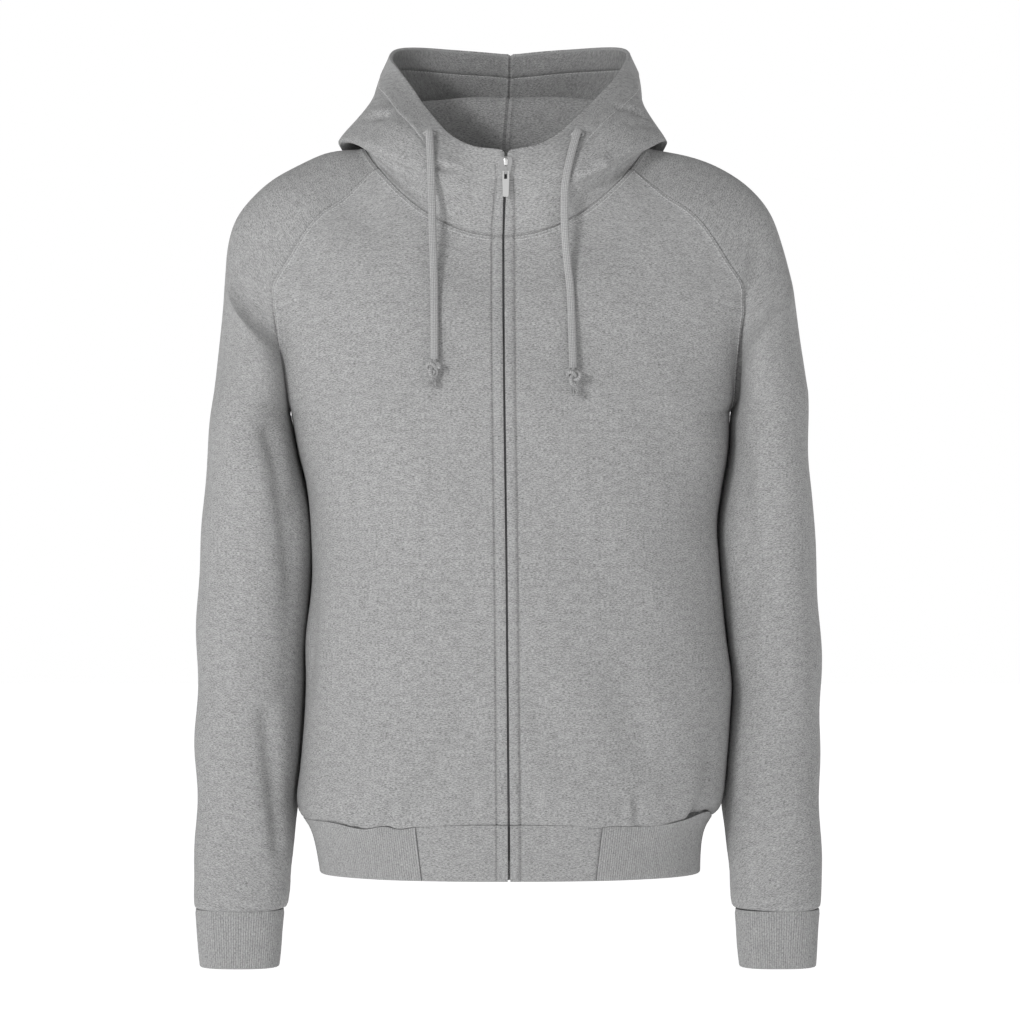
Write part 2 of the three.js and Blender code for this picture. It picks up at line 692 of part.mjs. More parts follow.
// Cuffs
for (const side of [1, -1]) {
  const inner = side > 0 ? 'innerLeft' : 'innerRight';
  const rings = CUFF.map((ring) => tubeRow(ring, inner, side, CUFF_COLUMNS, CUFF_ROUNDNESS));
  const ribs = Math.round(lengthOf(rings[0]) / CUFF_RIB_PITCH);
  const [end, top] = rings.map((ring) => outlineOf(ring, side));
  addPart(`cuff_${SIDE_NAME[side]}`, ribWall(end, top, ribs, CUFF_INNER_COLUMNS, true), RIB);
}

// The rib part of the waistband: from one jersey end round the back to the other.
function ribEdge(quarters, distance) {
  const steps = HEM_QUARTER_COLUMNS;
  const points = [];
  const start = awayFromZip(quarters.left, distance);
  const end = awayFromZip(quarters.right, distance);
  for (let i = 0; i < steps; i += 1) points.push(quarters.left(mix(start, 1, i / steps)));
  for (let i = 0; i < steps; i += 1) points.push(quarters.backLeft(1 - i / steps));
  for (let i = 0; i < steps; i += 1) points.push(quarters.backRight(i / steps));
  for (let i = 0; i <= steps; i += 1) points.push(quarters.right(mix(1, end, i / steps)));
  return points;
}
const ribBottom = ribEdge(bandBottom, JERSEY_END_BOTTOM + HALF_SEAM * 2);
const ribTop = ribEdge(bandTop, JERSEY_END_TOP + HALF_SEAM * 2);
addPart('hem_rib', ribWall(
  outlineOf(ribBottom, 1),
  outlineOf(ribTop, 1),
  Math.round(lengthOf(ribBottom) / HEM_RIB_PITCH),
  HEM_INNER_COLUMNS,
  false,
), RIB);

// Zip

// The cloth's edge beside the zip, bottom to top: three points of each row, their normals, and how
// far behind the outer side the tape lies.
const TAPE_GAP = 0.35;
const TAPE = 1.0;
function zipEdge(side) {
  const rows = [];
  const add = (row, depth) => rows.push(row.slice(0, 3).map((point, c) => {
    const normal = normals.get(keyOf(point)).clone();
    if (c === 0) normal.setX(0);
    return { point, normal: normal.normalize(), depth };
  }));
  hemFront[side].forEach((row) => add(row, RIB_CLOTH + TAPE_GAP));
  front[side].forEach((row, r) => add(row, (r === 0 ? RIB_CLOTH : CLOTH) + TAPE_GAP));
  hood[side].slice(1).forEach((row) => add(row, CLOTH + TAPE_GAP));
  return rows;
}
const zipEdges = { 1: zipEdge(1), '-1': zipEdge(-1) };
for (const side of [1, -1]) {
  const layer = (extra) => zipEdges[side].map((row) => row.map(({ point, normal, depth }) => (
    point.clone().addScaledVector(normal, -depth - extra)
  )));
  addPart(`zip_tape_${SIDE_NAME[side]}`, slab(layer(0), layer(TAPE)), { ...FLEECE, color: 0x8a8a8a });
}

// The closed teeth between the cloth edges, from the hem to just below the slider
const CHAIN_HALF_WIDTH = 1.0;
const CHAIN_FRONT = 0.5;
const CHAIN_BACK = 3.1;
const CHAIN_HOOD_ROWS = 9;
const chainRows = hemFront[1].length + front[1].length + CHAIN_HOOD_ROWS;
const chainLayer = (depth) => zipEdges[1].slice(0, chainRows).map((row, r) => {
  const other = zipEdges['-1'][r][0];
  const middle = row[0].point.clone().add(other.point).multiplyScalar(0.5);
  const normal = row[0].normal.clone().add(other.normal).setX(0).normalize();
  middle.addScaledVector(normal, -depth);
  return [1, -1].map((side) => middle.clone().setX(middle.x + side * CHAIN_HALF_WIDTH));
});
addPart('zip_chain', slab(chainLayer(CHAIN_FRONT), chainLayer(CHAIN_BACK)), METAL);

const wasm = await Module();
wasm.setup();

function toSolid(geometry) {
  const bare = geometry.clone();
  bare.deleteAttribute('normal');
  bare.deleteAttribute('uv');
  const merged = mergeVertices(bare, 1e-4);
  return new wasm.Manifold(new wasm.Mesh({
    numProp: 3,
    vertProperties: merged.attributes.position.array,
    triVerts: new Uint32Array(merged.index.array),
  }));
}

function fromSolid(solid) {
  const mesh = solid.getMesh();
  const geometry = new THREE.BufferGeometry();
  geometry.setAttribute('position', new THREE.Float32BufferAttribute(mesh.vertProperties, 3));
  geometry.setIndex(new THREE.Uint32BufferAttribute(mesh.triVerts, 1));
  geometry.computeVertexNormals();
  return geometry;
}

// An outline across and up, made thick from one depth to another; depth runs along Y.
function plate(outline, hole, from, to) {
  const shape = new THREE.Shape(outline.map(([x, z]) => new THREE.Vector2(x, z)));
  if (hole) shape.holes.push(new THREE.Path(hole.map(([x, z]) => new THREE.Vector2(x, z))));
  const geometry = new THREE.ExtrudeGeometry(shape, { depth: to - from, bevelEnabled: false });
  geometry.rotateX(Math.PI / 2);
  return geometry.translate(0, to, 0);
}

function box(x0, x1, y0, y1, z0, z1) {
  const geometry = new THREE.BoxGeometry(x1 - x0, y1 - y0, z1 - z0);
  return geometry.translate((x0 + x1) / 2, (y0 + y1) / 2, (z0 + z1) / 2);
}

// Slider, about the middle of its place on the zip line: a shield-shaped front plate, a neck between
// the cloth edges, a plate behind the tapes, and a crown that holds the pull.
const SLIDER_Z = -19;
const SLIDER_TILT = 0.105;
const SHIELD = [[-4.2, -8], [4.2, -8], [4.6, -3], [6, 2], [6.2, 6], [4.8, 8], [-4.8, 8], [-6.2, 6], [-6, 2],
  [-4.6, -3]];
const PLATE_FRONT = -2.95;
const PLATE_BACK = -1.2;
const REAR_FRONT = 5.1;
const REAR_BACK = 6.3;
const SLIDER_NECK = { half: 1, low: -4, high: 6 };
const CROWN = { half: 1, front: -6, low: -8, high: -1 };
const CROWN_SLOT = { half: 2, front: -4.95, low: -6.6, high: -2.4 };
const JOIN = 0.3;
const BAR_Y = -3.95;
const BAR_Z = -5.55;
const block = ({ half, low, high }, from, to) => toSolid(box(-half, half, from, to, low, high));
const slider = toSolid(plate(SHIELD, null, PLATE_FRONT, PLATE_BACK))
  .add(toSolid(plate(SHIELD, null, REAR_FRONT, REAR_BACK)))
  .add(block(SLIDER_NECK, PLATE_BACK - JOIN, REAR_FRONT + JOIN))
  .add(block(CROWN, CROWN.front, PLATE_FRONT + JOIN))
  .subtract(block(CROWN_SLOT, CROWN_SLOT.front, PLATE_FRONT));
const sliderMesh = addPart('zip_slider', fromSolid(slider), METAL);
sliderMesh.position.set(zipX(SLIDER_Z), zipY(SLIDER_Z), SLIDER_Z);
sliderMesh.rotation.x = SLIDER_TILT;

// Pull tab: a flat bar with a window round the crown; it hangs straight down from its own cross-bar.
const PULL_LENGTH = 23.5;
const BAR_HALF = 0.55;
const PULL_SIDE = table(['x', 'z'], [
  [3.1, BAR_HALF], [3.1, -9], [2.6, 1 - PULL_LENGTH], [1.8, -PULL_LENGTH],
]);
const WINDOW_HALF = 1.5;
const WINDOW_END = -7;
const pullOutline = [
  ...PULL_SIDE.map(({ x, z }) => [-x, z]),
  ...PULL_SIDE.map(({ x, z }) => [x, z]).reverse(),
];
const pullWindow = [
  [-WINDOW_HALF, -BAR_HALF], [WINDOW_HALF, -BAR_HALF],
  [WINDOW_HALF, WINDOW_END], [-WINDOW_HALF, WINDOW_END],
];
const pull = addPart('zip_pull', plate(pullOutline, pullWindow, -BAR_HALF, BAR_HALF), METAL);
pull.position.copy(vec(0, BAR_Y, BAR_Z).applyAxisAngle(vec(1, 0, 0), SLIDER_TILT).add(sliderMesh.position));

// Drawcords: free ends that leave the eyelets of the face hem, hang clear of the collar and lie on
// the chest
const CORD_HALF_WIDTH = 3.6;
const CORD_HALF_DEPTH = 2.1;
const CORD_STEPS = 34;
const CORD_SIDES = 8;
const CORD_ROUTES = {
  right: [
    vec(-73.6, -76.6, 14.4), vec(-73.4, -80.2, 14.2), vec(-73.0, -84.2, 10.4), vec(-72.5, -88.4, 3.4),
    vec(-71.9, -93.4, -7), vec(-71.2, -97, -22), vec(-70.7, -98.4, -38), vec(-70.2, -99.4, -54),
    vec(-69.9, -100.4, -70), vec(-69.4, -101.6, -88), vec(-68.8, -103, -106), vec(-68.2, -105.8, -126),
    vec(-67.9, -110.4, -146), vec(-67.7, -114.8, -166), vec(-67.6, -118.4, -184), vec(-67.5, -122, -200),
  ],
  left: [
    vec(65.4, -76.6, 14.4), vec(64.8, -80.2, 14.2), vec(63.6, -84.2, 10.4), vec(61.6, -88.6, 3),
    vec(58.4, -94.4, -9), vec(54.8, -98.2, -25), vec(52.8, -99.4, -39), vec(52.3, -100.2, -55),
    vec(52.5, -101.2, -74), vec(53.6, -102.4, -93), vec(55.2, -103.8, -112), vec(57.2, -106.8, -130),
    vec(58.3, -111.4, -150), vec(58.9, -115.8, -170), vec(59.5, -119.6, -190), vec(59.9, -123.4, -208),
  ],
};
const cordSection = [];
for (let i = 0; i < CORD_SIDES; i += 1) {
  const angle = (i / CORD_SIDES) * 2 * Math.PI;
  cordSection.push(new THREE.Vector2(CORD_HALF_WIDTH * Math.cos(angle), CORD_HALF_DEPTH * Math.sin(angle)));
}

// Knot and frayed tail under a cord's end: radii by depth below the cord.
const KNOT = table(['down', 'radius'], [
  [0.4, 3.2], [2.5, 6.6], [7, 7.8], [11.5, 6.8], [14.5, 5.2], [18, 6.6], [24, 6.9], [27.5, 5.4],
]);
const KNOT_SIDES = 12;
const KNOT_FLATNESS = 0.8;
const KNOT_FORWARD = 5;
for (const [name, route] of Object.entries(CORD_ROUTES)) {
  const path = new THREE.CatmullRomCurve3(route);
  addPart(`cord_${name}`, new THREE.ExtrudeGeometry(new THREE.Shape(cordSection), {
    steps: CORD_STEPS,
    extrudePath: path,
    bevelEnabled: false,
  }), { ...FLEECE, color: 0xa8a8a8 });
  const profile = [vec(0, -KNOT[0].down, 0), ...KNOT.map((row) => vec(row.radius, -row.down, 0)),
    vec(0, -KNOT[KNOT.length - 1].down, 0)].map((point) => new THREE.Vector2(point.x, point.y));
  const knot = new THREE.LatheGeometry(profile.reverse(), KNOT_SIDES);
  knot.rotateX(Math.PI / 2);
  knot.scale(1, KNOT_FLATNESS, 1);
  const end = route[route.length - 1];
  const knotMesh = addPart(`knot_${name}`, knot, { ...FLEECE, color: 0xa0a0a0 });
  knotMesh.position.set(end.x, end.y - KNOT_FORWARD, end.z);
}

export default hoodie;
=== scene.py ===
"""Raglan zip up hoodie, filled out with no wearer: cloth, ribs, stitching, zip, cords, and their materials."""

import json
import math

import bpy
import numpy as np
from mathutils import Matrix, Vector

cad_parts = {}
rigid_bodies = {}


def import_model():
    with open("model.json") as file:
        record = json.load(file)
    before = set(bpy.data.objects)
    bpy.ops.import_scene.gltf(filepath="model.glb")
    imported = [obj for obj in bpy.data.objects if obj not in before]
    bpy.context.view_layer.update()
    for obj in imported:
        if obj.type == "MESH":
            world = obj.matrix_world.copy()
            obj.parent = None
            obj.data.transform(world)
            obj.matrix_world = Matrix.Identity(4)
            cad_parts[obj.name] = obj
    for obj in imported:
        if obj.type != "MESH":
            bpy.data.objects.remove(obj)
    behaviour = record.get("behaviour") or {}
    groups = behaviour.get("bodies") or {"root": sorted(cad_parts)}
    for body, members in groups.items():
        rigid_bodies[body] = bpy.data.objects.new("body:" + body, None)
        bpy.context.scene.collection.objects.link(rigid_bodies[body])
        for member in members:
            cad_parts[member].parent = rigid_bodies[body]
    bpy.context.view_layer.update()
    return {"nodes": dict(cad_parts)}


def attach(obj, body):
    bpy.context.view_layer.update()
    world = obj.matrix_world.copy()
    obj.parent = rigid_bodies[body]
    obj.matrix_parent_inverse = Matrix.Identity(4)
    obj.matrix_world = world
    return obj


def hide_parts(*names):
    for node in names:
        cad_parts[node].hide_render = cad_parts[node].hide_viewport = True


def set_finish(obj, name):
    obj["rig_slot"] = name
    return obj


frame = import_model()

# Sizes below are in millimetres until a mesh is made, and follow the part's own driving sizes.
MM = 0.001
CLOTH = 2.1
RIB_CLOTH = 3.0
HEM_Z = -681
BAND_TOP_Z = -628.5
ARMPIT_Z = -246
NECK_FRONT_Z = -83
NECK_BACK_Z = 2
ZIP_HALF_GAP = 1.15
ZIP_BAND_WIDTH = 11
ZIP_BAND_RISE = 1.2
FACE_HEM = 24
FACE_HEM_RISE = 0.7
RIB_PITCH = 2.1
CUFF_TOP_Z = -715.4
CUFF_END_Z = -770
BODY_ROUNDNESS = 2.35
SLEEVE_ROUNDNESS = 2.2
CUFF_ROUNDNESS = 2.3
SIDES = {"left": 1, "right": -1}


# Camera, first of all: level, square on to the front, with the photo's frame
scene = bpy.context.scene
CAMERA_DISTANCE = 3.8
FOCAL_PIXELS = 4000
PHOTO_LONG_SIDE = 1024
SENSOR = 36
lens = bpy.data.cameras.new("camera")
lens.sensor_width = SENSOR
lens.lens = SENSOR * FOCAL_PIXELS / PHOTO_LONG_SIDE
lens.clip_start = 0.1
lens.clip_end = 60
camera = bpy.data.objects.new("camera", lens)
camera.location = (0.0019, -CAMERA_DISTANCE, -0.3401)
camera.rotation_euler = (math.pi / 2, 0, 0)
scene.collection.objects.link(camera)
scene.camera = camera


# Reading tables and lines

def table(columns, rows):
    """Rows of numbers as arrays with names."""
    return {name: np.array([row[i] for row in rows], float) for i, name in enumerate(columns)}


def smooth(keys, values, at):
    """Smooth values between listed ones: cubics whose slopes come from the neighbouring rows."""
    keys = np.asarray(keys, float)
    values = np.asarray(values, float)
    flat = values.reshape(len(keys), -1)
    at = np.clip(np.asarray(at, float), keys[0], keys[-1])
    last = len(keys) - 1
    rows = np.arange(last + 1)
    before = np.maximum(rows - 1, 0)
    after = np.minimum(rows + 1, last)
    slopes = (flat[after] - flat[before]) / (keys[after] - keys[before])[:, None]
    i = np.clip(np.searchsorted(keys, at) - 1, 0, last - 1)
    step = (keys[i + 1] - keys[i])[..., None]
    t = (at - keys[i])[..., None] / step
    own = flat[i] * (2 * t**3 - 3 * t**2 + 1) + flat[i + 1] * (3 * t**2 - 2 * t**3)
    bent = own + step * (slopes[i] * (t**3 - 2 * t**2 + t) + slopes[i + 1] * (t**3 - t**2))
    return bent.reshape(at.shape + values.shape[1:])


def ease(low, high, value):
    t = np.clip((value - low) / (high - low), 0, 1)
    return t * t * (3 - 2 * t)


def mix(a, b, t):
    return a + (b - a) * t


def running(points):
    """Running length along a line of points."""
    return np.concatenate([[0], np.cumsum(np.linalg.norm(np.diff(points, axis=0), axis=1))])


def at_lengths(points, lengths):
    """Points of a line at given distances along it."""
    own = running(points)
    return np.stack([np.interp(lengths, own, points[:, k]) for k in range(3)], axis=1)


def along(points, share):
    """A smooth curve through points, read at shares of its length."""
    own = running(points)
    return smooth(own / own[-1], points, share)


def graded(length, head, tail, count):
    """Distances along a length: as listed near its two ends, and even between them."""
    middle = np.linspace(head[-1], length - tail[-1], count + 2)[1:-1]
    return np.concatenate([head, middle, (length - tail)[::-1]])


NEAR_SEAM = np.array([0, 0.6, 1.3, 2.2, 3.4, 5.0, 6.2, 8.5])
NEAR_ZIP = np.array([0, 0.5, 1.2, 2.6, 4.6, 6.6, 8.2, 9.0, 9.6, 10.1, 10.6, 11.2, 12, 13.2, 15, 18])


# Meshes

SHARP_ANGLE = 50

def quads_of(index, flip):
    cells = np.stack([index[:-1, :-1], index[:-1, 1:], index[1:, 1:], index[1:, :-1]], axis=-1).reshape(-1, 4)
    return cells[:, ::-1] if flip else cells


def mesh_object(name, points, quads, uv=None):
    """An object from points in millimetres and faces of four (or, as the last two alike, three) corners."""
    mesh = bpy.data.meshes.new(name)
    mesh.vertices.add(len(points))
    mesh.vertices.foreach_set("co", (np.asarray(points) * MM).astype(np.float32).ravel())
    mesh.loops.add(quads.size)
    mesh.loops.foreach_set("vertex_index", quads.astype(np.int32).ravel())
    mesh.polygons.add(len(quads))
    mesh.polygons.foreach_set("loop_start", np.arange(len(quads), dtype=np.int32) * quads.shape[1])
    mesh.polygons.foreach_set("use_smooth", np.ones(len(quads), bool))
    if uv is not None:
        layer = mesh.uv_layers.new(name="UVMap")
        layer.data.foreach_set("uv", uv[quads.ravel()].astype(np.float32).ravel())
    mesh.update(calc_edges=True)
    mesh.validate()
    mesh.set_sharp_from_angle(angle=math.radians(SHARP_ANGLE))
    obj = bpy.data.objects.new(name, mesh)
    bpy.context.collection.objects.link(obj)
    return obj


# Tubes along lines: the drawcords, their knots and the frayed strands

CORD_WIDTH = 7.2
CORD_DEPTH = 4.2
CORD_SIDES = 24
CORD_RING_STEP = 0.45
BRAID_HEIGHT = 0.3
BRAID_STRANDS = 5
BRAID_PITCH = 9.0
KNOT_RADIUS = 1.8
CORD_ROUTES = {
    "right": np.array([
        [-73.6, -76.6, 14.4], [-73.4, -80.2, 14.2], [-73.0, -84.2, 10.4], [-72.5, -88.4, 3.4],
        [-71.9, -93.4, -7], [-71.2, -97, -22], [-70.7, -98.4, -38], [-70.2, -99.4, -54],
        [-69.9, -100.4, -70], [-69.4, -101.6, -88], [-68.8, -103, -106], [-68.2, -105.8, -126],
        [-67.9, -110.4, -146], [-67.7, -114.8, -166], [-67.6, -118.4, -184], [-67.5, -122, -200],
    ]),
    "left": np.array([
        [65.4, -76.6, 14.4], [64.8, -80.2, 14.2], [63.6, -84.2, 10.4], [61.6, -88.6, 3],
        [58.4, -94.4, -9], [54.8, -98.2, -25], [52.8, -99.4, -39], [52.3, -100.2, -55],
        [52.5, -101.2, -74], [53.6, -102.4, -93], [55.2, -103.8, -112], [57.2, -106.8, -130],
        [58.3, -111.4, -150], [58.9, -115.8, -170], [59.5, -119.6, -190], [59.9, -123.4, -208],
    ]),
}
KNOT_TURN = 2.1
KNOT_DEEP = 2.2
KNOT_DROP = 8.4
KNOT_STANCE = {"right": (-1.6, 0.35), "left": (1.2, -0.5)}
FRAY_COUNT = 44
FRAY_LENGTH = (5.0, 9.0)


def tube(name, line, sides, half_width, half_depth, raised=None, wide=(1, 0, 0)):
    """A closed tube about a line. Its section is rounded, widest along a given way, and can carry a raised pattern."""
    heading = np.gradient(line, axis=0)
    heading /= np.linalg.norm(heading, axis=1, keepdims=True)
    across = np.array(wide, float) - heading * (heading @ np.array(wide, float))[:, None]
    across /= np.linalg.norm(across, axis=1, keepdims=True)
    up = np.cross(heading, across)
    angle = np.linspace(0, 2 * math.pi, sides, endpoint=False)
    length = running(line)
    rise = np.zeros((len(line), sides)) if raised is None else raised(length[:, None], angle[None])
    width = np.broadcast_to(np.asarray(half_width, float), len(line))[:, None]
    depth = np.broadcast_to(np.asarray(half_depth, float), len(line))[:, None]
    rings = (
        line[:, None]
        + across[:, None] * ((width + rise) * np.cos(angle))[..., None]
        + up[:, None] * ((depth + rise) * np.sin(angle))[..., None]
    )
    index = np.arange(len(line) * sides).reshape(len(line), sides)
    around = np.concatenate([index, index[:, :1]], axis=1)
    ends = np.array([len(line) * sides, len(line) * sides + 1])
    quads = [quads_of(around, False)]
    for ring, end, turned in ((around[0], ends[0], True), (around[-1], ends[1], False)):
        fan = np.stack([np.full(sides, end), ring[:-1], ring[1:], ring[1:]], axis=1)
        quads.append(np.stack([fan[:, 0], fan[:, 2], fan[:, 1], fan[:, 1]], axis=1) if turned else fan)
    points = np.concatenate([rings.reshape(-1, 3), line[[0, -1]] + [heading[0] * -0.2, heading[-1] * 0.2]])
    uv = np.stack([np.repeat(angle[None] * 3.0, len(line), 0), np.repeat(length[:, None], sides, 1)], axis=-1)
    uv = np.concatenate([uv.reshape(-1, 2), [[0, 0], [0, length[-1]]]]) * MM
    return name, points, quads, uv


def fans(quads):
    return np.concatenate(quads)


def braid(length, angle):
    turn = length * 2 * math.pi / BRAID_PITCH
    over = np.cos(BRAID_STRANDS * (angle + turn)) * np.cos(BRAID_STRANDS * (angle - turn))
    return BRAID_HEIGHT * over


def knot_route(end, name):
    """An overhand knot's path under a cord's end: three crossing turns, then the tail."""
    aside, spin = KNOT_STANCE[name]
    t = np.linspace(0.35, 2 * math.pi - 0.3, 26) + spin
    across = KNOT_TURN * (np.sin(t) + 2 * np.sin(2 * t))
    up = KNOT_TURN * (np.cos(t) - 2 * np.cos(2 * t)) * 1.12
    deep = -KNOT_DEEP * np.sin(3 * t)
    turns = np.stack([across + aside * 0.6, deep - 4.2, up - KNOT_DROP], axis=1)
    if turns[0, 2] < turns[-1, 2]:
        turns = turns[::-1]
    tail = np.array([[aside * 1.2, -4.6, -15.2], [aside * 1.6, -4.4, -19.0]])
    return end + np.concatenate([[[0, 0.4, 2.0], [0, -0.6, -1.4]], turns, tail])


def smooth_line(points, step):
    keys = running(points)
    fine = smooth(keys, points, np.linspace(0, keys[-1], 900))
    return at_lengths(fine, np.linspace(0, running(fine)[-1], int(running(fine)[-1] / step) + 1))


cords = {}
strands = np.random.default_rng(11)
for name, route in CORD_ROUTES.items():
    line = smooth_line(route, CORD_RING_STEP)
    label, points, quads, uv = tube("cord_braid_" + name, line, CORD_SIDES, CORD_WIDTH / 2 - 0.15, CORD_DEPTH / 2 - 0.1, braid)
    cord = mesh_object(label, points, fans(quads), uv)
    knot_line = smooth_line(knot_route(route[-1], name), 0.5)
    radius = KNOT_RADIUS * (1 - 0.12 * ease(0.8, 1, np.linspace(0, 1, len(knot_line))))
    pieces = [tube("", knot_line, 16, radius, radius * 0.86, braid, (0.2, 1, 0.1))[1:]]
    tail = knot_line[-1]
    for k in range(FRAY_COUNT):
        angle = strands.uniform(0, 2 * math.pi)
        spread = math.sqrt(strands.uniform(0.02, 1))
        root = tail + [math.cos(angle) * 2.3 * spread, math.sin(angle) * 1.9 * spread, 2.5]
        long = strands.uniform(*FRAY_LENGTH)
        out = np.array([math.cos(angle) * 3.6 * spread, math.sin(angle) * 2.0 * spread, -long])
        bend = strands.normal(size=3) * [0.9, 0.5, 0.6]
        strand = smooth_line(np.array([root, root + out * 0.45 + bend, root + out]), 0.7)
        pieces.append(tube("", strand, 5, 0.42, 0.42, None, (0.3, 1, 0.2))[1:])
    points = np.concatenate([p for p, _, _ in pieces])
    starts = np.cumsum([0] + [len(p) for p, _, _ in pieces[:-1]])
    quads = np.concatenate([fans(q) + s for (_, q, _), s in zip(pieces, starts)])
    knot = mesh_object("cord_knot_" + name, points, quads, np.concatenate([m for _, _, m in pieces]))
    for obj, node in ((cord, "cord_" + name), (knot, "knot_" + name)):
        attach(obj, "garment")
        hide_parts(node)
        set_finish(obj, "cord")
    cords[name] = (cord, knot, line)


# Driving tables
LEAN = table(["z", "x"], [
    [-246, 4], [-190, 2], [-140, 0.8], [-60, -2], [8, -3.4], [40, -1.5], [62, 1.5], [110, 2.5],
])
ZIP_LINE = table(["z", "x", "y"], [
    [-681, 1.0, -116], [-655, 0.9, -117.5], [-628.5, 0.8, -118.5], [-606, 0.6, -125],
    [-560, 0.2, -127.5], [-400, -1.2, -127.5], [-300, -2.4, -126.5], [-246, -3.2, -124],
    [-200, -3.7, -118.5], [-150, -4.1, -107.5], [-110, -4.2, -93.5], [-83, -4.2, -85.5],
    [-66, -3.7, -88], [-50, -3.2, -91], [-38, -2.7, -93], [-24, -2.2, -95], [-15, -1.9, -96],
    [-6, -1.6, -96.5],
])
BODY = table(["z", "left", "right", "back"], [
    [-628.5, 193.5, -195, 109.5], [-621, 200.5, -199, 113.5], [-608, 204.5, -200.5, 116],
    [-580, 207, -197, 115.5], [-540, 210, -193.5, 113], [-503, 212, -192, 111],
    [-460, 207, -191.5, 110], [-420, 203, -187.5, 111], [-385, 200, -185.5, 113],
    [-350, 198.5, -186, 116], [-316, 203, -191, 119], [-283, 208.5, -199, 122], [-246, 211, -206, 124],
])
UPPER_BACK = table(["z", "y"], [
    [-246, 124], [-180, 123], [-120, 116], [-70, 103], [-30, 86], [2, 60],
])
RAGLAN_FRONT = np.array([
    [211.5, -18, -232], [214, -34, -208], [217, -46, -174], [222, -54, -140], [221, -57, -128],
    [206, -61, -104], [190, -63, -79], [175, -62, -62], [152, -58, -46], [118, -48, -17],
], float)
RAGLAN_BACK = np.array([
    [211, 20, -232], [209, 40, -212], [206, 62, -178], [196, 80, -142], [178, 88, -105],
    [150, 86, -62], [120, 74, -27], [86, 48, 5],
], float)
SHOULDER_LINE = np.array([
    [281.5, 2, -226], [277.6, 3, -190], [273.5, 4, -155], [269, 4, -120], [262.5, 4, -86],
    [252, 3, -57], [234, 2, -34], [208, 0, -17], [172, -4, -1.6], [131, -11, 4],
], float)
SLEEVE = table(["z", "outer", "innerleft", "innerright", "middle", "depth", "lap"], [
    [-286, 285, 210.4, 199.6, 0, 73, 5.5], [-322, 288, 204.2, 191.3, 1, 70, 6],
    [-358, 290.5, 199.6, 187.1, 2, 66, 6], [-394, 292.5, 201.2, 186.5, 3, 63, 5.5],
    [-430, 294, 204.8, 189.2, 4, 61, 5.5], [-466, 295, 208.9, 192.8, 4, 58, 5.8],
    [-502, 296, 212.9, 193.2, 3, 55, 6], [-538, 296, 211.4, 195.4, 1, 52, 6.4],
    [-574, 296.5, 209.0, 198.2, -2, 49, 6.4], [-610, 297, 206.6, 202.5, -5, 46.5, 7],
    [-645, 297.2, 206.5, 202.5, -8, 44, 2], [-678, 297.4, 209.5, 205.5, -10, 42, 0],
    [-700, 298, 210.0, 206.5, -11, 41, 0], [-711, 297.5, 211.2, 208.2, -11.5, 39, 0],
    [-715.7, 295.5, 214, 211, -12, 36, 0],
])
# A soft fold of each sleeve laps behind the body's side. Its place and width are shares of the sleeve's depth.
LAP_PLACE = 0.45
LAP_WIDTH = 0.27
CUFF = table(["z", "outer", "innerleft", "innerright", "middle", "depth"], [
    [CUFF_END_Z, 290.8, 219.5, 218, -13, 30], [CUFF_TOP_Z, 296, 214.5, 211.5, -12, 34.5],
])
BAND = table(["z", "left", "right", "front", "back"], [
    [HEM_Z, 182, -178, -116, 104], [BAND_TOP_Z, 184, -184, -118.5, 108.5],
])
JERSEY_END = table(["z", "distance"], [[HEM_Z, 80], [BAND_TOP_Z, 86]])
BAND_SEAM = table(["x", "front", "back"], [
    [-200, 0, 0], [-165, -0.5, 1.5], [-135, -5.6, -1], [-115, -2.6, -3], [-100, -4.8, -1], [-85, -2.6, 1.5],
    [-57, -0.4, 0], [-10, 0, -2.5], [11, 0, -1.5], [63, -0.6, 1], [82, -3.2, -1.5], [94, -1.8, -3],
    [119, -2.4, -0.5], [143, -1.8, 1.5], [165, 2, 0], [182, 6.5, 0], [200, 7, 0],
])
BAND_SEAM_REACH = 13
HOOD_PLACES = [0, 0.12, 0.24, 0.36, 0.5, 0.62, 0.75, 0.88, 1]
FACE_PLACES = [0, 0.12, 0.24, 0.36, 0.5, 0.6, 0.68, 0.74, 0.8, 0.88, 1]
FACE_CORNER = 5.5
HOOD = {
    "roll": [[0, -88, -66], [45, -88, -62], [86, -72, -38], [119, -50, -10], [138, -13, 13],
             [125, 35, 28], [95, 60, 53], [50, 75, 60], [0, 80, 60]],
    "fall": [[0, -91, -50], [45, -92, -47], [88, -80, -28], [123, -57, -5], [149, -12, 10],
             [138, 44, 8], [106, 86, 0], [58, 101, -12], [0, 106, -20]],
    "bottom": [[0, -93, -38], [44, -95, -34], [85, -88, -18], [122, -62, 3], [154, -8, 13],
               [150, 53, -3], [119, 108, -56], [66, 126, -102], [0, 131, -119]],
    "rise": [[0, -95, -24], [40, -94, -20], [75, -86, -4], [104, -64, 20], [129, -6, 42],
             [131, 50, 46], [131, 112, 12], [78, 152, -22], [0, 164, -32]],
    "lip": [[0, -96, -15], [34, -91, -10], [64, -80, 5], [90, -58, 28], [117, -8, 53],
            [124, 38, 72], [121, 86, 78], [75, 122, 68], [0, 136, 60]],
    "face": [[0, -96.5, -6], [28, -88.5, -1], [52, -75, 12], [72, -52, 34], [94, -10, 62],
             [109, 22, 83], [116, 42, 94.5], [114, 62, 104], [101, 80, 109], [70, 98, 110.5], [0, 108, 105]],
}

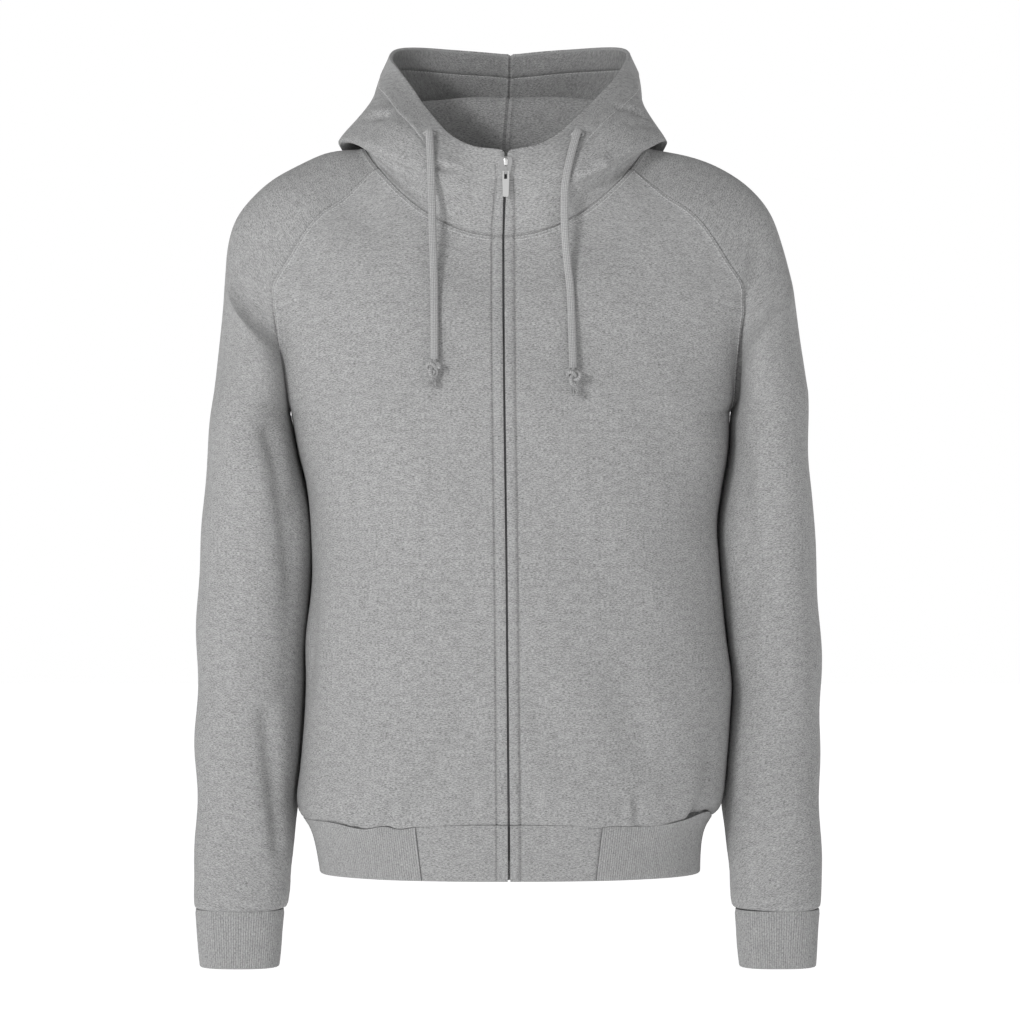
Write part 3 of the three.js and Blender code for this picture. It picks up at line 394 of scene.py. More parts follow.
# Creases and soft ridges: from a to b, how wide and how deep (minus sinks in)
FOLDS = [
    # front, viewer's left
    ((-42, -126, -540), (-96, -110, -622), 15, -3.6),
    ((-30, -127, -560), (-62, -122, -622), 12, 1.2),
    ((-110, -112, -608), (-113, -108, -632), 4.4, -3.6),
    ((-101, -112, -600), (-103, -110, -630), 8, 2.0),
    ((-140, -95, -610), (-143, -92, -629), 5, -1.4),
    ((-170, -85, -300), (-176, -80, -420), 16, 1.6),
    ((-196, -50, -330), (-196, -48, -500), 13, -4),
    # front, viewer's right
    ((105, -115, -480), (122, -110, -560), 20, -2.5),
    ((30, -124, -520), (52, -122, -575), 18, -1.6),
    ((107, -112, -608), (107, -110, -632), 4.2, -2.8),
    ((118, -108, -604), (122, -104, -632), 4.4, -3.4),
    ((111, -110, -600), (111, -108, -626), 6, 1.3),
    ((188, -60, -570), (176, -66, -622), 9, -5),
    ((170, -72, -585), (166, -76, -622), 8, 1.6),
    # sleeve, viewer's left
    ((-222, -62, -270), (-200, -58, -384), 11, -4.6),
    ((-198, -56, -384), (-194, -50, -490), 8, -2.6),
    ((-226, -50, -531), (-214, -44, -655), 9, -4.4),
    ((-240, -52, -560), (-232, -46, -640), 12, 1.4),
    ((-248, -45, -82), (-226, -58, -140), 9, -2.6),
    ((-272, -38, -263), (-272, -36, -350), 10, 1.5),
    # sleeve, viewer's right
    ((245, -45, -74), (224, -56, -141), 7.5, -3.4),
    ((222, -58, -300), (228, -56, -420), 13, -3),
    ((219, -54, -440), (216, -52, -600), 10, -4),
    ((236, -50, -620), (240, -46, -690), 12, -1.8),
    ((262, -52, -330), (268, -48, -470), 18, 1.4),
    # hood
    ((-68, -94, -19), (-47, -97, -23), 3.2, -4.6),
    ((-66, -94, -13), (-47, -97, -17), 5, 1.8),
    ((105, -36, 41), (134, -10, 38), 4, -5.2),
    ((108, -36, 48), (132, -10, 46), 6, 2.4),
    ((122, -30, 40), (132, -16, 40), 5, -6),
    ((112, -50, 20), (140, -20, 27), 5, -2.8),
    ((106, -50, 14), (138, -20, 19), 6, 1.6),
    ((44, -100, -42), (52, -99, -34), 5, -6.5),
    ((54, -100, -46), (86, -88, -28), 4, -7),
    ((86, -88, -28), (122, -62, -8), 4, -7.5),
    ((56, -100, -36), (90, -86, -17), 8, 3.6),
    ((90, -86, -17), (126, -60, 4), 8, 3),
    ((-60, -98, -46), (-92, -86, -27), 4.5, -3.6),
    ((-92, -86, -27), (-128, -60, -6), 4, -6),
    ((-94, -84, -15), (-130, -56, 6), 8, 2.6),
    ((-116, -40, 34), (-137, -10, 22), 5, -4),
    ((-112, -40, 42), (-130, -10, 34), 6, 1.8),
    ((-100, -56, 20), (-116, -40, 30), 6, -1.8),
    ((-26, -96, -24), (-32, -95, -52), 9, -1.6),
    ((30, -96, -26), (38, -94, -50), 9, -1.4),
    # back
    ((-60, 118, -300), (-20, 116, -420), 22, -3),
    ((70, 118, -200), (110, 112, -330), 22, -3),
    ((-120, 96, -560), (-110, 96, -622), 14, -4),
    ((60, 112, -575), (64, 112, -622), 12, -4),
    ((-20, 115, -600), (-22, 112, -629), 4, -1.8),
    ((128, 92, -606), (130, 90, -629), 4, -1.8),
    ((30, 122, -230), (-12, 118, -360), 26, -1.6),
    ((250, 56, -380), (230, 60, -430), 14, -4),
    ((-246, 58, -400), (-226, 60, -460), 14, -4),
    ((244, 52, -560), (232, 48, -600), 12, -2.6),
    ((-240, 48, -540), (-228, 50, -610), 12, -2.8),
]

uneven = np.random.default_rng(7)
WAVES = [(uneven.normal(size=3), uneven.uniform(55, 150), uneven.uniform(0, 2 * math.pi)) for _ in range(14)]
WAVE_HEIGHT = 0.42
ARM_GAP_X = 200
ARM_GAP_REACH = (16, 48)
BODY_FOLDS = 1.35
BODY_FOLDS_BELOW = -150


def draped(points):
    """How far the cloth's folds and its slight unevenness move points along their normals."""
    depth = np.zeros(points.shape[:-1])
    for a, b, width, height in FOLDS:
        start = np.array(a, float)
        span = np.array(b, float) - start
        t = np.clip((points - start) @ span / (span @ span), 0, 1)
        away = np.linalg.norm(points - start - t[..., None] * span, axis=-1) / width
        depth += height * np.exp(-away * away) * (BODY_FOLDS if a[2] < BODY_FOLDS_BELOW else 1)
    beside_arm = (np.abs(points[..., 0]) - ARM_GAP_X) / ARM_GAP_REACH[0]
    calm = 1 - np.exp(-beside_arm**2 - (points[..., 1] / ARM_GAP_REACH[1]) ** 2) * (points[..., 2] < ARMPIT_Z)
    waves = np.zeros_like(depth)
    for direction, length, phase in WAVES:
        heading = direction / np.linalg.norm(direction)
        waves += WAVE_HEIGHT * np.sin(points @ heading * 2 * math.pi / length + phase)
    return depth + waves * calm


def seam_wave(points):
    """How the uneven seam above the waistband rises and falls, from its own table across front and back."""
    front = smooth(BAND_SEAM["x"], BAND_SEAM["front"], points[..., 0])
    back = smooth(BAND_SEAM["x"], BAND_SEAM["back"], points[..., 0])
    amount = np.where(points[..., 1] < 0, front, back) * ease(0, 40, np.abs(points[..., 1]))
    return amount * np.exp(-(((points[..., 2] - BAND_TOP_Z) / BAND_SEAM_REACH) ** 2))


def ripple(length):
    """The small uneven waves that stitching draws into cloth, along a seam."""
    return (np.sin(length * 0.74 + 0.6) + 0.7 * np.sin(length * 1.21 + 2.1) + 0.6 * np.sin(length * 0.43)) / 2.3


# Body panels

def lean(z):
    return smooth(LEAN["z"], LEAN["x"], z)


def zip_at(z):
    return smooth(ZIP_LINE["z"], ZIP_LINE["x"], z), smooth(ZIP_LINE["z"], ZIP_LINE["y"], z)


def body_side(z, name):
    return smooth(BODY["z"], BODY[name], z)


def raglan_curve(points, side, name):
    armpit = np.array([[float(body_side(ARMPIT_Z, name)), 0, ARMPIT_Z]])
    moved = points * [side, 1, 1]
    moved[:, 0] += lean(points[:, 2])
    return np.concatenate([armpit, moved])


def openness(lift):
    """How far a row has turned from a closed ring, at the armpit, to an open arc."""
    return ease(0.02, 0.45, lift)


RING_BEND = 1 / BODY_ROUNDNESS
SHOULDER_BEND = 0.95
NECK_BEND = 0.5
NECK_BEND_FROM = 0.8
ROW_SAG = 1.2
# Low on the raglan seams, only cloth close to them is pulled forward
PULL_TO = 0.3
PULL_FALL = 6
ROW_POINTS = 260


def body_row(middle, end, lift, u):
    """One row of a front or back panel, from its middle edge to its side edge."""
    turned = openness(lift)
    across = mix(np.sin(u * math.pi / 2) ** (2 / BODY_ROUNDNESS), u, turned)
    power = mix(RING_BEND, mix(SHOULDER_BEND, NECK_BEND, ease(NECK_BEND_FROM, 1, lift)), turned)
    bend = np.maximum(1 - across**BODY_ROUNDNESS, 0) ** power
    pulled = mix(ease(0, PULL_TO, lift), 1, across**PULL_FALL)
    return np.stack([
        mix(middle[0], end[0], across),
        mix(end[1] * pulled, middle[1], bend),
        mix(middle[2], end[2], across ** (1 + ROW_SAG * lift)),
    ], axis=1)


LOWER_Z = BAND_TOP_Z + graded(ARMPIT_Z - BAND_TOP_Z, NEAR_SEAM, np.array([0, 3.5]), 96)
RAGLAN_LENGTH = 300
LIFTS = graded(RAGLAN_LENGTH, np.array([0, 3.5]), NEAR_SEAM, 62) / RAGLAN_LENGTH
FIRST_CAP = len(LOWER_Z) - 1
FRONT_MIDDLE = 58
BACK_MIDDLE = 46
SLEEVE_MIDDLE = 74


def front_panel(name):
    side = SIDES[name]
    seam = raglan_curve(RAGLAN_FRONT, side, name)
    u = np.linspace(0, 1, ROW_POINTS)
    rows = []

    def add_row(z, end, lift):
        x, y = zip_at(z)
        row = body_row([x + ZIP_HALF_GAP * side, y, z], end, lift, u)
        rows.append(at_lengths(row, graded(running(row)[-1], NEAR_ZIP, NEAR_SEAM, FRONT_MIDDLE)))

    for z in LOWER_Z[:-1]:
        add_row(z, [float(body_side(z, name)), 0, z], 0)
    for lift in LIFTS:
        add_row(mix(ARMPIT_Z, NECK_FRONT_Z, lift), along(seam, lift), lift)
    return np.array(rows)


def back_panel():
    u = np.linspace(0, 1, ROW_POINTS)
    rows = []

    def add_row(middle, ends, lift):
        halves = []
        for name in ("left", "right"):
            row = body_row(middle, ends[name], lift, u)
            halves.append(at_lengths(row, graded(running(row)[-1], np.array([0, 1.5]), NEAR_SEAM, BACK_MIDDLE)))
        rows.append(np.concatenate([halves[1][::-1], halves[0][1:]]))

    for z in LOWER_Z[:-1]:
        ends = {name: np.array([float(body_side(z, name)), 0, z]) for name in SIDES}
        middle = [(ends["left"][0] + ends["right"][0]) / 2, float(body_side(z, "back")), z]
        add_row(middle, ends, 0)
    seams = {name: raglan_curve(RAGLAN_BACK, side, name) for name, side in SIDES.items()}
    for lift in LIFTS:
        z = mix(ARMPIT_Z, NECK_BACK_Z, lift)
        middle = [float(lean(z)), float(smooth(UPPER_BACK["z"], UPPER_BACK["y"], z)), z]
        add_row(middle, {name: along(seams[name], lift) for name in SIDES}, lift)
    return np.array(rows)


# Sleeves

SEAM_HANDLE = 0.4
CROWN_HANDLE = 0.38
BEZIER_FULLNESS = 4 / 3
HEADING_SPAN = 20


def bezier(a, b, c, d, count=60):
    t = np.linspace(0, 1, count)[:, None]
    s = 1 - t
    return a * s**3 + b * 3 * s**2 * t + c * 3 * s * t**2 + d * t**3


def tube_row(ring, name, side, roundness, count=260):
    """A level ring, from its inner side round the front and the outer side and back again."""
    outer, inner = ring["outer"], ring["inner" + name]
    angle = np.linspace(0, 2 * math.pi, count)
    c, s = np.cos(angle), np.sin(angle)
    across = np.sign(c) * np.abs(c) ** (2 / roundness)
    deep = np.sign(s) * np.abs(s) ** (2 / roundness)
    row = np.stack([
        side * ((outer + inner) / 2 - (outer - inner) / 2 * across),
        ring["middle"] - ring["depth"] * deep,
        np.full(count, ring["z"]),
    ], axis=1)
    behind = (row[:, 1] - ring["middle"]) / ring["depth"] - LAP_PLACE
    row[:, 0] -= side * ring.get("lap", 0) * np.exp(-((behind / LAP_WIDTH) ** 2)) * ease(0, 0.5, c)
    row[-1] = row[0]
    return row


def rows_of(rings):
    return [{key: values[i] for key, values in rings.items()} for i in range(len(rings["z"]))]


def sleeve_panel(name, front, back):
    """Rows from the neck seam to the cuff; those of the cap are open at the raglan seams."""
    side = SIDES[name]
    half = (back.shape[1] - 1) // 2
    cap = []
    for i in range(len(LIFTS) - 1, -1, -1):
        lift = LIFTS[i]
        front_row = front[FIRST_CAP + i]
        back_row = back[FIRST_CAP + i][half:] if side > 0 else back[FIRST_CAP + i][:half + 1][::-1]
        crown = smooth(np.linspace(0, 1, len(SHOULDER_LINE)), SHOULDER_LINE, lift) * [side, 1, 1]
        crown[0] += lean(crown[2])
        turned = ease(0.1, 0.55, lift)
        halves = []
        for panel_row, way in ((front_row, -1), (back_row, 1)):
            seam = panel_row[-1]
            facing = np.array([0, way, 0.0])
            lengths = running(panel_row)
            heading = seam - at_lengths(panel_row, [lengths[-1] - HEADING_SPAN])[0]
            start = mix(facing, heading / np.linalg.norm(heading), turned)
            start /= np.linalg.norm(start)
            reach = np.linalg.norm(seam - crown)
            full = (SLEEVE["depth"][0] - (abs(seam[1]) + abs(crown[1])) / 2) * BEZIER_FULLNESS
            first = seam + start * mix(full, reach * SEAM_HANDLE, turned)
            second = crown + facing * mix(full, reach * CROWN_HANDLE, turned)
            halves.append(bezier(seam, first, second, crown))
        row = np.concatenate([halves[0], halves[1][::-1][1:]])
        cap.append(at_lengths(row, graded(running(row)[-1], NEAR_SEAM, NEAR_SEAM, SLEEVE_MIDDLE)))
    cap = np.array(cap)
    rings = []
    for ring in rows_of(SLEEVE):
        row = tube_row(ring, name, side, SLEEVE_ROUNDNESS)
        rings.append(at_lengths(row, graded(running(row)[-1], NEAR_SEAM, NEAR_SEAM, SLEEVE_MIDDLE)))
    above = cap[-8]
    stations = np.array([above, cap[-1]] + rings)
    gaps = np.linalg.norm(np.diff(stations, axis=0), axis=2).mean(1)
    keys = np.concatenate([[0], np.cumsum(gaps)])
    reach = keys[-1] - keys[1]
    fine = keys[1] + graded(reach, np.array([0, 3.5]), NEAR_SEAM, 104)[1:]
    return np.concatenate([cap, smooth(keys, stations, fine)])


# Hood

HOOD_STOPS = ["roll", "fall", "bottom", "rise", "lip", "face"]
NEAR_FACE = np.array([0, 0.5, 1.2, 2.5, 5, 8.5, 12, 15.5, 18.5, 21, 22.4, 23.2, 23.8, 24.4, 25.2, 27])
HOOD_STATIONS = np.concatenate([[0, 0.015, 0.03, 0.05, 0.08, 0.12, 0.18, 0.25], np.linspace(0.33, 6, 70)])


def hood_panel(name, neck_row):
    side = SIDES[name]
    from_zip = running(neck_row)
    places = from_zip / from_zip[-1]
    shift_share = np.clip(places / HOOD_PLACES[1], 0, 1)
    stops = [neck_row]
    for stop in HOOD_STOPS:
        points = smooth(FACE_PLACES if stop == "face" else HOOD_PLACES, HOOD[stop], places)
        beside_zip = zip_at(points[:, 2])[0] + ZIP_HALF_GAP * side
        shift = mix(beside_zip, lean(points[:, 2]), shift_share)
        stops.append(np.stack([points[:, 0] * side + shift, points[:, 1], points[:, 2]], axis=1))
    stops = np.array(stops)
    columns = []
    for c in range(stops.shape[1]):
        coarse = stops[:, c]
        keys = running(coarse)
        line = smooth(keys / keys[-1], coarse, np.linspace(0, 1, ROW_POINTS))
        corner = max(0.0, 1 - from_zip[c] / FACE_CORNER)
        length = running(line)[-1] - FACE_CORNER * (1 - math.sqrt(1 - corner * corner))
        body = length - NEAR_FACE[-1]
        lower = np.interp(HOOD_STATIONS, np.arange(len(keys)), keys / keys[-1]) * body
        columns.append(at_lengths(line, np.concatenate([lower[:-1], (length - NEAR_FACE)[::-1]])))
    return np.array(columns).transpose(1, 0, 2)


# Cloth as thin shells

CLOTH_RELIEF_INSIDE = 0.4
EDGE_SHARES = np.array([0.12, 0.5, 0.88])
EDGE_BULGE = np.array([0.36, 0.5, 0.36])
ZIP_EDGE_BULGE = 0.15
# Inner faces' map is moved by this much so the material finds them and darkens them: painted shade, partly the back's
# own darker tone.
INSIDE_MAP = (0, 10)


def distances(grid, axis):
    """Running length along rows (axis 1) or columns (axis 0), from the first point and from the last."""
    steps = np.linalg.norm(np.diff(grid, axis=axis), axis=2)
    first = np.zeros(grid.shape[:2])
    if axis == 1:
        first[:, 1:] = np.cumsum(steps, axis=1)
        return first, first[:, -1:] - first
    first[1:] = np.cumsum(steps, axis=0)
    return first, first[-1:] - first


def summed_normals(grid, flip):
    cells = np.cross(grid[1:, 1:] - grid[:-1, :-1], grid[1:, :-1] - grid[:-1, 1:]) * (-1 if flip else 1)
    total = np.zeros_like(grid)
    total[1:, 1:] += cells
    total[:-1, :-1] += cells
    total[1:, :-1] += cells
    total[:-1, 1:] += cells
    return total


def border(shape):
    mask = np.ones(shape, bool)
    mask[1:-1, 1:-1] = False
    return mask


def shared_normals(grids, flips):
    """Unit normals of every grid; points that panels share along a seam get one normal."""
    normals = {name: summed_normals(grid, flips[name]) for name, grid in grids.items()}
    sums = {}
    for name, grid in grids.items():
        mask = border(grid.shape[:2])
        for key, value in zip(map(tuple, np.rint(grid[mask] * 100).astype(int)), normals[name][mask]):
            sums[key] = sums.get(key, 0) + value
    for name, grid in grids.items():
        mask = border(grid.shape[:2])
        keys = map(tuple, np.rint(grid[mask] * 100).astype(int))
        normals[name][mask] = [sums[key] for key in keys]
        normals[name] /= np.maximum(np.linalg.norm(normals[name], axis=2, keepdims=True), 1e-9)
    return normals


def shell(name, outer, inner, uv, flip, free=(), closed_from=None, inside_map=(0, 0)):
    """A thin closed shell between two grids. Edges named in free are rounded, and the others are sewn."""
    rows, columns = outer.shape[:2]
    count = rows * columns
    out_index = np.arange(count).reshape(rows, columns)
    if closed_from is not None:
        out_index[closed_from:, -1] = out_index[closed_from:, 0]
    in_index = out_index + count
    points = [outer.reshape(-1, 3), inner.reshape(-1, 3)]
    maps = [uv.reshape(-1, 2), uv.reshape(-1, 2) + inside_map]
    quads = [quads_of(out_index, flip), quads_of(in_index, not flip)]
    used = 2 * count
    last = rows - 1 if closed_from is None else closed_from
    edges = {
        "bottom": (np.s_[0, :], np.s_[1, :], True), "top": (np.s_[-1, :], np.s_[-2, :], False),
        "start": (np.s_[:last + 1, 0], np.s_[:last + 1, 1], False),
        "end": (np.s_[:last + 1, -1], np.s_[:last + 1, -2], True),
    }
    for edge, (at, beside, turned) in edges.items():
        strips = [out_index[at], in_index[at]]
        if edge in free:
            away = outer[at] - outer[beside]
            away /= np.maximum(np.linalg.norm(away, axis=1, keepdims=True), 1e-9)
            thick = np.linalg.norm(outer[at] - inner[at], axis=1, keepdims=True)
            middle = []
            fullness = ZIP_EDGE_BULGE if edge == "start" else 1
            for share, bulge in zip(EDGE_SHARES, EDGE_BULGE):
                points.append(mix(outer[at], inner[at], share) + away * thick * bulge * fullness)
                maps.append(uv[at])
                middle.append(np.arange(used, used + len(away)))
                used += len(away)
            strips = [strips[0], *middle, strips[1]]
        quads.append(quads_of(np.array(strips), flip ^ turned ^ True))
    return mesh_object(name, np.concatenate(points), np.concatenate(quads), np.concatenate(maps))


def uv_of(across, up):
    """A map in metres: across a panel and up it."""
    return np.stack([across, up], axis=-1) * MM


# How stitching and doubled edges shape a panel, by distance from each seam

SEAM_SINK = 1.6
SEAM_HALF = 1.6
BAND_RISE = 0.8
BAND_FROM = 1.0
BAND_TO = 6.2
GROOVE_HALF = 1.2
GROOVE_DEPTH = 2.1
FACE_GROOVE = 0.5
TURNED_EDGE = 1.8
TURNED_DROP = 0.7
SEAM_INSIDE = 1.3
HEM_INSIDE = 0.6
FACE_PADDING = 1.6
ALLOWANCE_RISE = 1.5
ALLOWANCE_AT = 3.2
RIPPLE_HEIGHT = 0.22
RIPPLE_REACH = 7


def pinch(away):
    return -SEAM_SINK * np.exp(-((away / SEAM_HALF) ** 2))


def cover_band(away):
    """The flat raised strip under two rows of cover stitches."""
    return BAND_RISE * ease(BAND_FROM - 0.8, BAND_FROM + 0.4, away) * (1 - ease(BAND_TO - 0.8, BAND_TO + 0.8, away))


def stitched_hem(away, width, rise, groove=GROOVE_DEPTH):
    """A doubled edge, up to the groove that its topstitching draws."""
    doubled = rise * (1 - ease(width - 0.5, width + 1, away))
    return doubled - groove * np.exp(-(((away - width) / GROOVE_HALF) ** 2))


def turned_edge(away):
    """A folded edge beside the zip rolls away to the back."""
    return -TURNED_DROP * (1 - ease(0, TURNED_EDGE, away))


def drawn(away, length):
    return RIPPLE_HEIGHT * np.exp(-((away / RIPPLE_REACH) ** 2)) * ripple(length)


ZIP_BAND = table(["z", "width"], [
    [-690, 9.6], [-600, 9.4], [-200, 9.2], [-80, 9.2], [-30, 9.8], [-16, 12], [-7, 16], [0, 17.5],
])


def zip_band_width(z):
    return smooth(ZIP_BAND["z"], ZIP_BAND["width"], z)


front_grid = {name: front_panel(name) for name in SIDES}
back_grid = back_panel()
BACK_HALF = (back_grid.shape[1] - 1) // 2
sleeve_grid = {name: sleeve_panel(name, front_grid[name], back_grid) for name in SIDES}
CAP_ROWS = len(LIFTS)


def neck_row(name):
    back_top = back_grid[-1]
    behind = back_top[BACK_HALF:][::-1] if name == "left" else back_top[:BACK_HALF + 1]
    return np.concatenate([front_grid[name][-1], sleeve_grid[name][0][1:], behind[1:]])


hood_grid = {name: hood_panel(name, neck_row(name)) for name in SIDES}

grids = {"back": back_grid}
flips = {"back": True}
for name, side in SIDES.items():
    grids["front_" + name], flips["front_" + name] = front_grid[name], side < 0
    grids["sleeve_" + name], flips["sleeve_" + name] = sleeve_grid[name], side > 0
    grids["hood_" + name], flips["hood_" + name] = hood_grid[name], side < 0
normals = shared_normals(grids, flips)
for name in SIDES:
    normals["sleeve_" + name][CAP_ROWS - 1, [0, -1]] = [0, 0, -1]
    normals["front_" + name][FIRST_CAP, -1] = [0, 0, -1]
normals["back"][FIRST_CAP, [0, -1]] = [0, 0, -1]

layers = {}
lengths_of = {}


def finish_panel(key, relief, free=(), closed_from=None, inside=0):
    """The panel's two sides, moved by its folds and its relief, and the object between them."""
    grid = grids[key]
    across, _ = distances(grid, 1)
    up, _ = distances(grid, 0)
    fold = draped(grid)[..., None]
    lift = relief[..., None]
    if key.startswith(("front", "back")):
        grid = grid + seam_wave(grid)[..., None] * [0, 0, 1]
    outer = grid + normals[key] * (fold + lift)
    hollow = np.broadcast_to(inside, relief.shape)[..., None]
    inner = grid + normals[key] * (fold + lift * CLOTH_RELIEF_INSIDE - CLOTH + hollow)
    layers[key] = (outer, inner)
    lengths_of[key] = (across, up)
    middle = across.shape[1] // 2
    obj = shell("cloth_" + key, outer, inner, uv_of(across - across[:, middle:middle + 1], up), flips[key],
                free, closed_from, INSIDE_MAP)
    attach(obj, "garment")
    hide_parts(key)
    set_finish(obj, "fleece")
    return obj


cloth = {}
in_cap = np.arange(len(LOWER_Z) - 1 + len(LIFTS))[:, None] >= FIRST_CAP
for name, side in SIDES.items():
    key = "front_" + name
    grid = grids[key]
    from_zip, from_side = distances(grid, 1)
    from_band, from_neck = distances(grid, 0)
    relief = stitched_hem(from_zip, zip_band_width(grid[..., 2]), ZIP_BAND_RISE) + turned_edge(from_zip)
    relief += pinch(from_side) + pinch(from_neck) + pinch(from_band) * 0.45
    sewn_twice = np.minimum(from_neck, np.where(in_cap, from_side, 1e3))
    relief += cover_band(sewn_twice) * ease(6, 11, from_zip)
    relief += drawn(from_side, from_band) + drawn(from_band, from_zip) + drawn(from_zip - 10, from_band) * 0.7
    cloth[key] = finish_panel(key, relief, free=("start",))

    key = "sleeve_" + name
    grid = grids[key]
    from_front, from_back = distances(grid, 1)
    from_neck, from_cuff = distances(grid, 0)
    from_seam = np.minimum(from_front, from_back)
    cap = (np.arange(len(grid)) < CAP_ROWS)[:, None]
    relief = pinch(from_seam) * np.where(cap, 1, 0.6) + pinch(from_neck) + pinch(from_cuff)
    relief += cover_band(from_neck) + drawn(from_seam, from_neck) + drawn(from_cuff, from_front)
    cloth[key] = finish_panel(key, relief, closed_from=CAP_ROWS - 1)

    key = "hood_" + name
    grid = grids[key]
    from_zip, from_centre = distances(grid, 1)
    from_neck, from_face = distances(grid, 0)
    relief = stitched_hem(from_face, FACE_HEM, FACE_HEM_RISE, FACE_GROOVE) * ease(40, 90, from_zip)
    relief += stitched_hem(from_zip, zip_band_width(grid[..., 2]), ZIP_BAND_RISE) * ease(0, 4, from_face)
    relief += turned_edge(from_zip) + pinch(from_neck)
    relief += pinch(from_centre) * 0.8 + drawn(from_centre, from_neck) + drawn(from_neck, from_zip)
    relief += drawn(from_face - FACE_HEM, from_zip) * 1.2
    centre_line = SEAM_INSIDE * np.exp(-((from_centre / SEAM_HALF) ** 2))
    centre_line -= ALLOWANCE_RISE * np.exp(-(((from_centre - ALLOWANCE_AT) / SEAM_HALF) ** 2))
    hem_line = HEM_INSIDE * np.exp(-(((from_face - FACE_HEM) / GROOVE_HALF) ** 2))
    doubled = FACE_PADDING * (1 - ease(FACE_HEM - 4, FACE_HEM, from_face)) * ease(6, 20, from_zip)
    hollow = np.minimum(centre_line + hem_line, SEAM_INSIDE) - doubled
    cloth[key] = finish_panel(key, relief, free=("top", "start"), inside=hollow)

grid = grids["back"]
from_right, from_left = distances(grid, 1)
from_band, from_neck = distances(grid, 0)
from_side = np.minimum(from_right, from_left)
relief = pinch(from_side) + pinch(from_neck) + pinch(from_band) * 0.45
relief += cover_band(np.minimum(from_neck, np.where(in_cap, from_side, 1e3)))
relief += drawn(from_side, from_band) + drawn(from_band, from_right)
cloth["back"] = finish_panel("back", relief)


# Waistband and cuffs: doubled cloth with a fold at the bottom

FOLD_STEPS = 5
RIB_SAMPLES = 6
RIB_HEIGHT = 0.5
SEAM_GAP = 0.3
BAND_FLARE = 10.5
BAND_FLARE_REACH = 11
FLARE_FROM = 110
FLARE_TO = 178


def outward(line, sign):
    heading = np.gradient(line, axis=0)
    across = np.stack([heading[:, 1], -heading[:, 0], np.zeros(len(line))], axis=1) * sign
    return across / np.maximum(np.linalg.norm(across, axis=1, keepdims=True), 1e-9)


def fold_profile(top_z, end_z, steps):
    """Heights and depths down the outside, round the fold and up the inside."""
    radius = RIB_CLOTH / 2
    outside = [(z, 0.0) for z in np.linspace(top_z, end_z + radius, steps)]
    turn = [(end_z + radius - radius * math.sin(a), radius * (math.cos(a) - 1))
            for a in np.linspace(0, math.pi, FOLD_STEPS + 2)[1:-1]]
    inside = [(z, -RIB_CLOTH) for z in np.linspace(end_z + radius, top_z, steps // 2)]
    return outside + turn + inside


def folded_band(name, line_at, profile, sign, relief, closed, across=None):
    """A doubled band. line_at gives its outline at a height, and relief its raised pattern."""
    rows, maps = [], []
    top = profile[0][0]
    flared = not closed
    for k, (z, depth) in enumerate(profile):
        line = line_at(z)
        facing = outward(line, sign)
        if closed:
            facing[0] = facing[-1] = (facing[1] + facing[-2]) / np.linalg.norm(facing[1] + facing[-2])
        length = running(line)
        outside = 1 + depth / RIB_CLOTH
        seam = np.exp(-(((top - z) / SEAM_HALF) ** 2)) * (depth > -RIB_CLOTH / 2)
        height = relief(length, z) * outside * (1 - 0.6 * seam) - 0.5 * seam + draped(line) * 0.6
        sides = ease(FLARE_FROM, FLARE_TO, np.abs(line[:, 0])) if flared else 0
        flare = BAND_FLARE * sides * np.exp(-((top - z) / BAND_FLARE_REACH))
        moved = line + facing * (depth + height + flare)[:, None]
        rows.append(moved + seam_wave(moved)[:, None] * [0, 0, 1] if flared else moved)
        maps.append(uv_of(length if across is None else across, np.full(len(length), k * 4.0)))
    rows = np.array(rows)
    index = np.arange(rows.shape[0] * rows.shape[1]).reshape(rows.shape[:2])
    if closed:
        index[:, -1] = index[:, 0]
    wrapped = np.concatenate([index, index[:1]])
    flip = sign > 0
    quads = [quads_of(wrapped, flip)]
    if not closed:
        half = len(profile) // 2
        for column, turned in ((0, True), (-1, False)):
            edge = index[:, column]
            cap = np.array([edge[:half], edge[::-1][:half]])
            quads.append(quads_of(cap, turned ^ flip))
    obj = mesh_object(name, rows.reshape(-1, 3), np.concatenate(quads), np.array(maps).reshape(-1, 2))
    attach(obj, "garment")
    return obj, rows


def band_quarter(z, name, is_back):
    """A quarter of the waistband's outline, from its middle to its side."""
    read = {column: float(smooth(BAND["z"], BAND[column], z)) for column in ("left", "right", "front", "back")}
    if is_back:
        middle = [(read["left"] + read["right"]) / 2, read["back"], z]
    else:
        middle = [float(zip_at(z)[0]) + ZIP_HALF_GAP * SIDES[name], read["front"], z]
    return body_row(middle, [read[name], 0, z], 0, np.linspace(0, 1, ROW_POINTS))


def jersey_end(z):
    return float(smooth(JERSEY_END["z"], JERSEY_END["distance"], z))


def jersey_line(name):
    def line_at(z):
        quarter = band_quarter(z, name, False)
        end = jersey_end(z)
        return at_lengths(quarter, graded(end, NEAR_ZIP, np.array([0, 0.8, 1.8, 3.2]), 40))
    return line_at


def rib_line(z):
    front_left = band_quarter(z, "left", False)
    front_right = band_quarter(z, "right", False)
    whole = np.concatenate([
        front_left, band_quarter(z, "left", True)[::-1][1:], band_quarter(z, "right", True)[1:],
        front_right[::-1][1:],
    ])
    start = jersey_end(z) + SEAM_GAP
    end = running(whole)[-1] - start
    return at_lengths(whole, np.linspace(start, end, HEM_RIBS * RIB_SAMPLES + 1))


HEM_RIBS = 1
hem_rib_length = np.ptp(running(rib_line(HEM_Z + 20))[[0, -1]])
HEM_RIBS = round(hem_rib_length / RIB_PITCH)
band_profile = fold_profile(BAND_TOP_Z - SEAM_GAP, HEM_Z, 15)
rib_phase = np.arange(HEM_RIBS * RIB_SAMPLES + 1) / RIB_SAMPLES


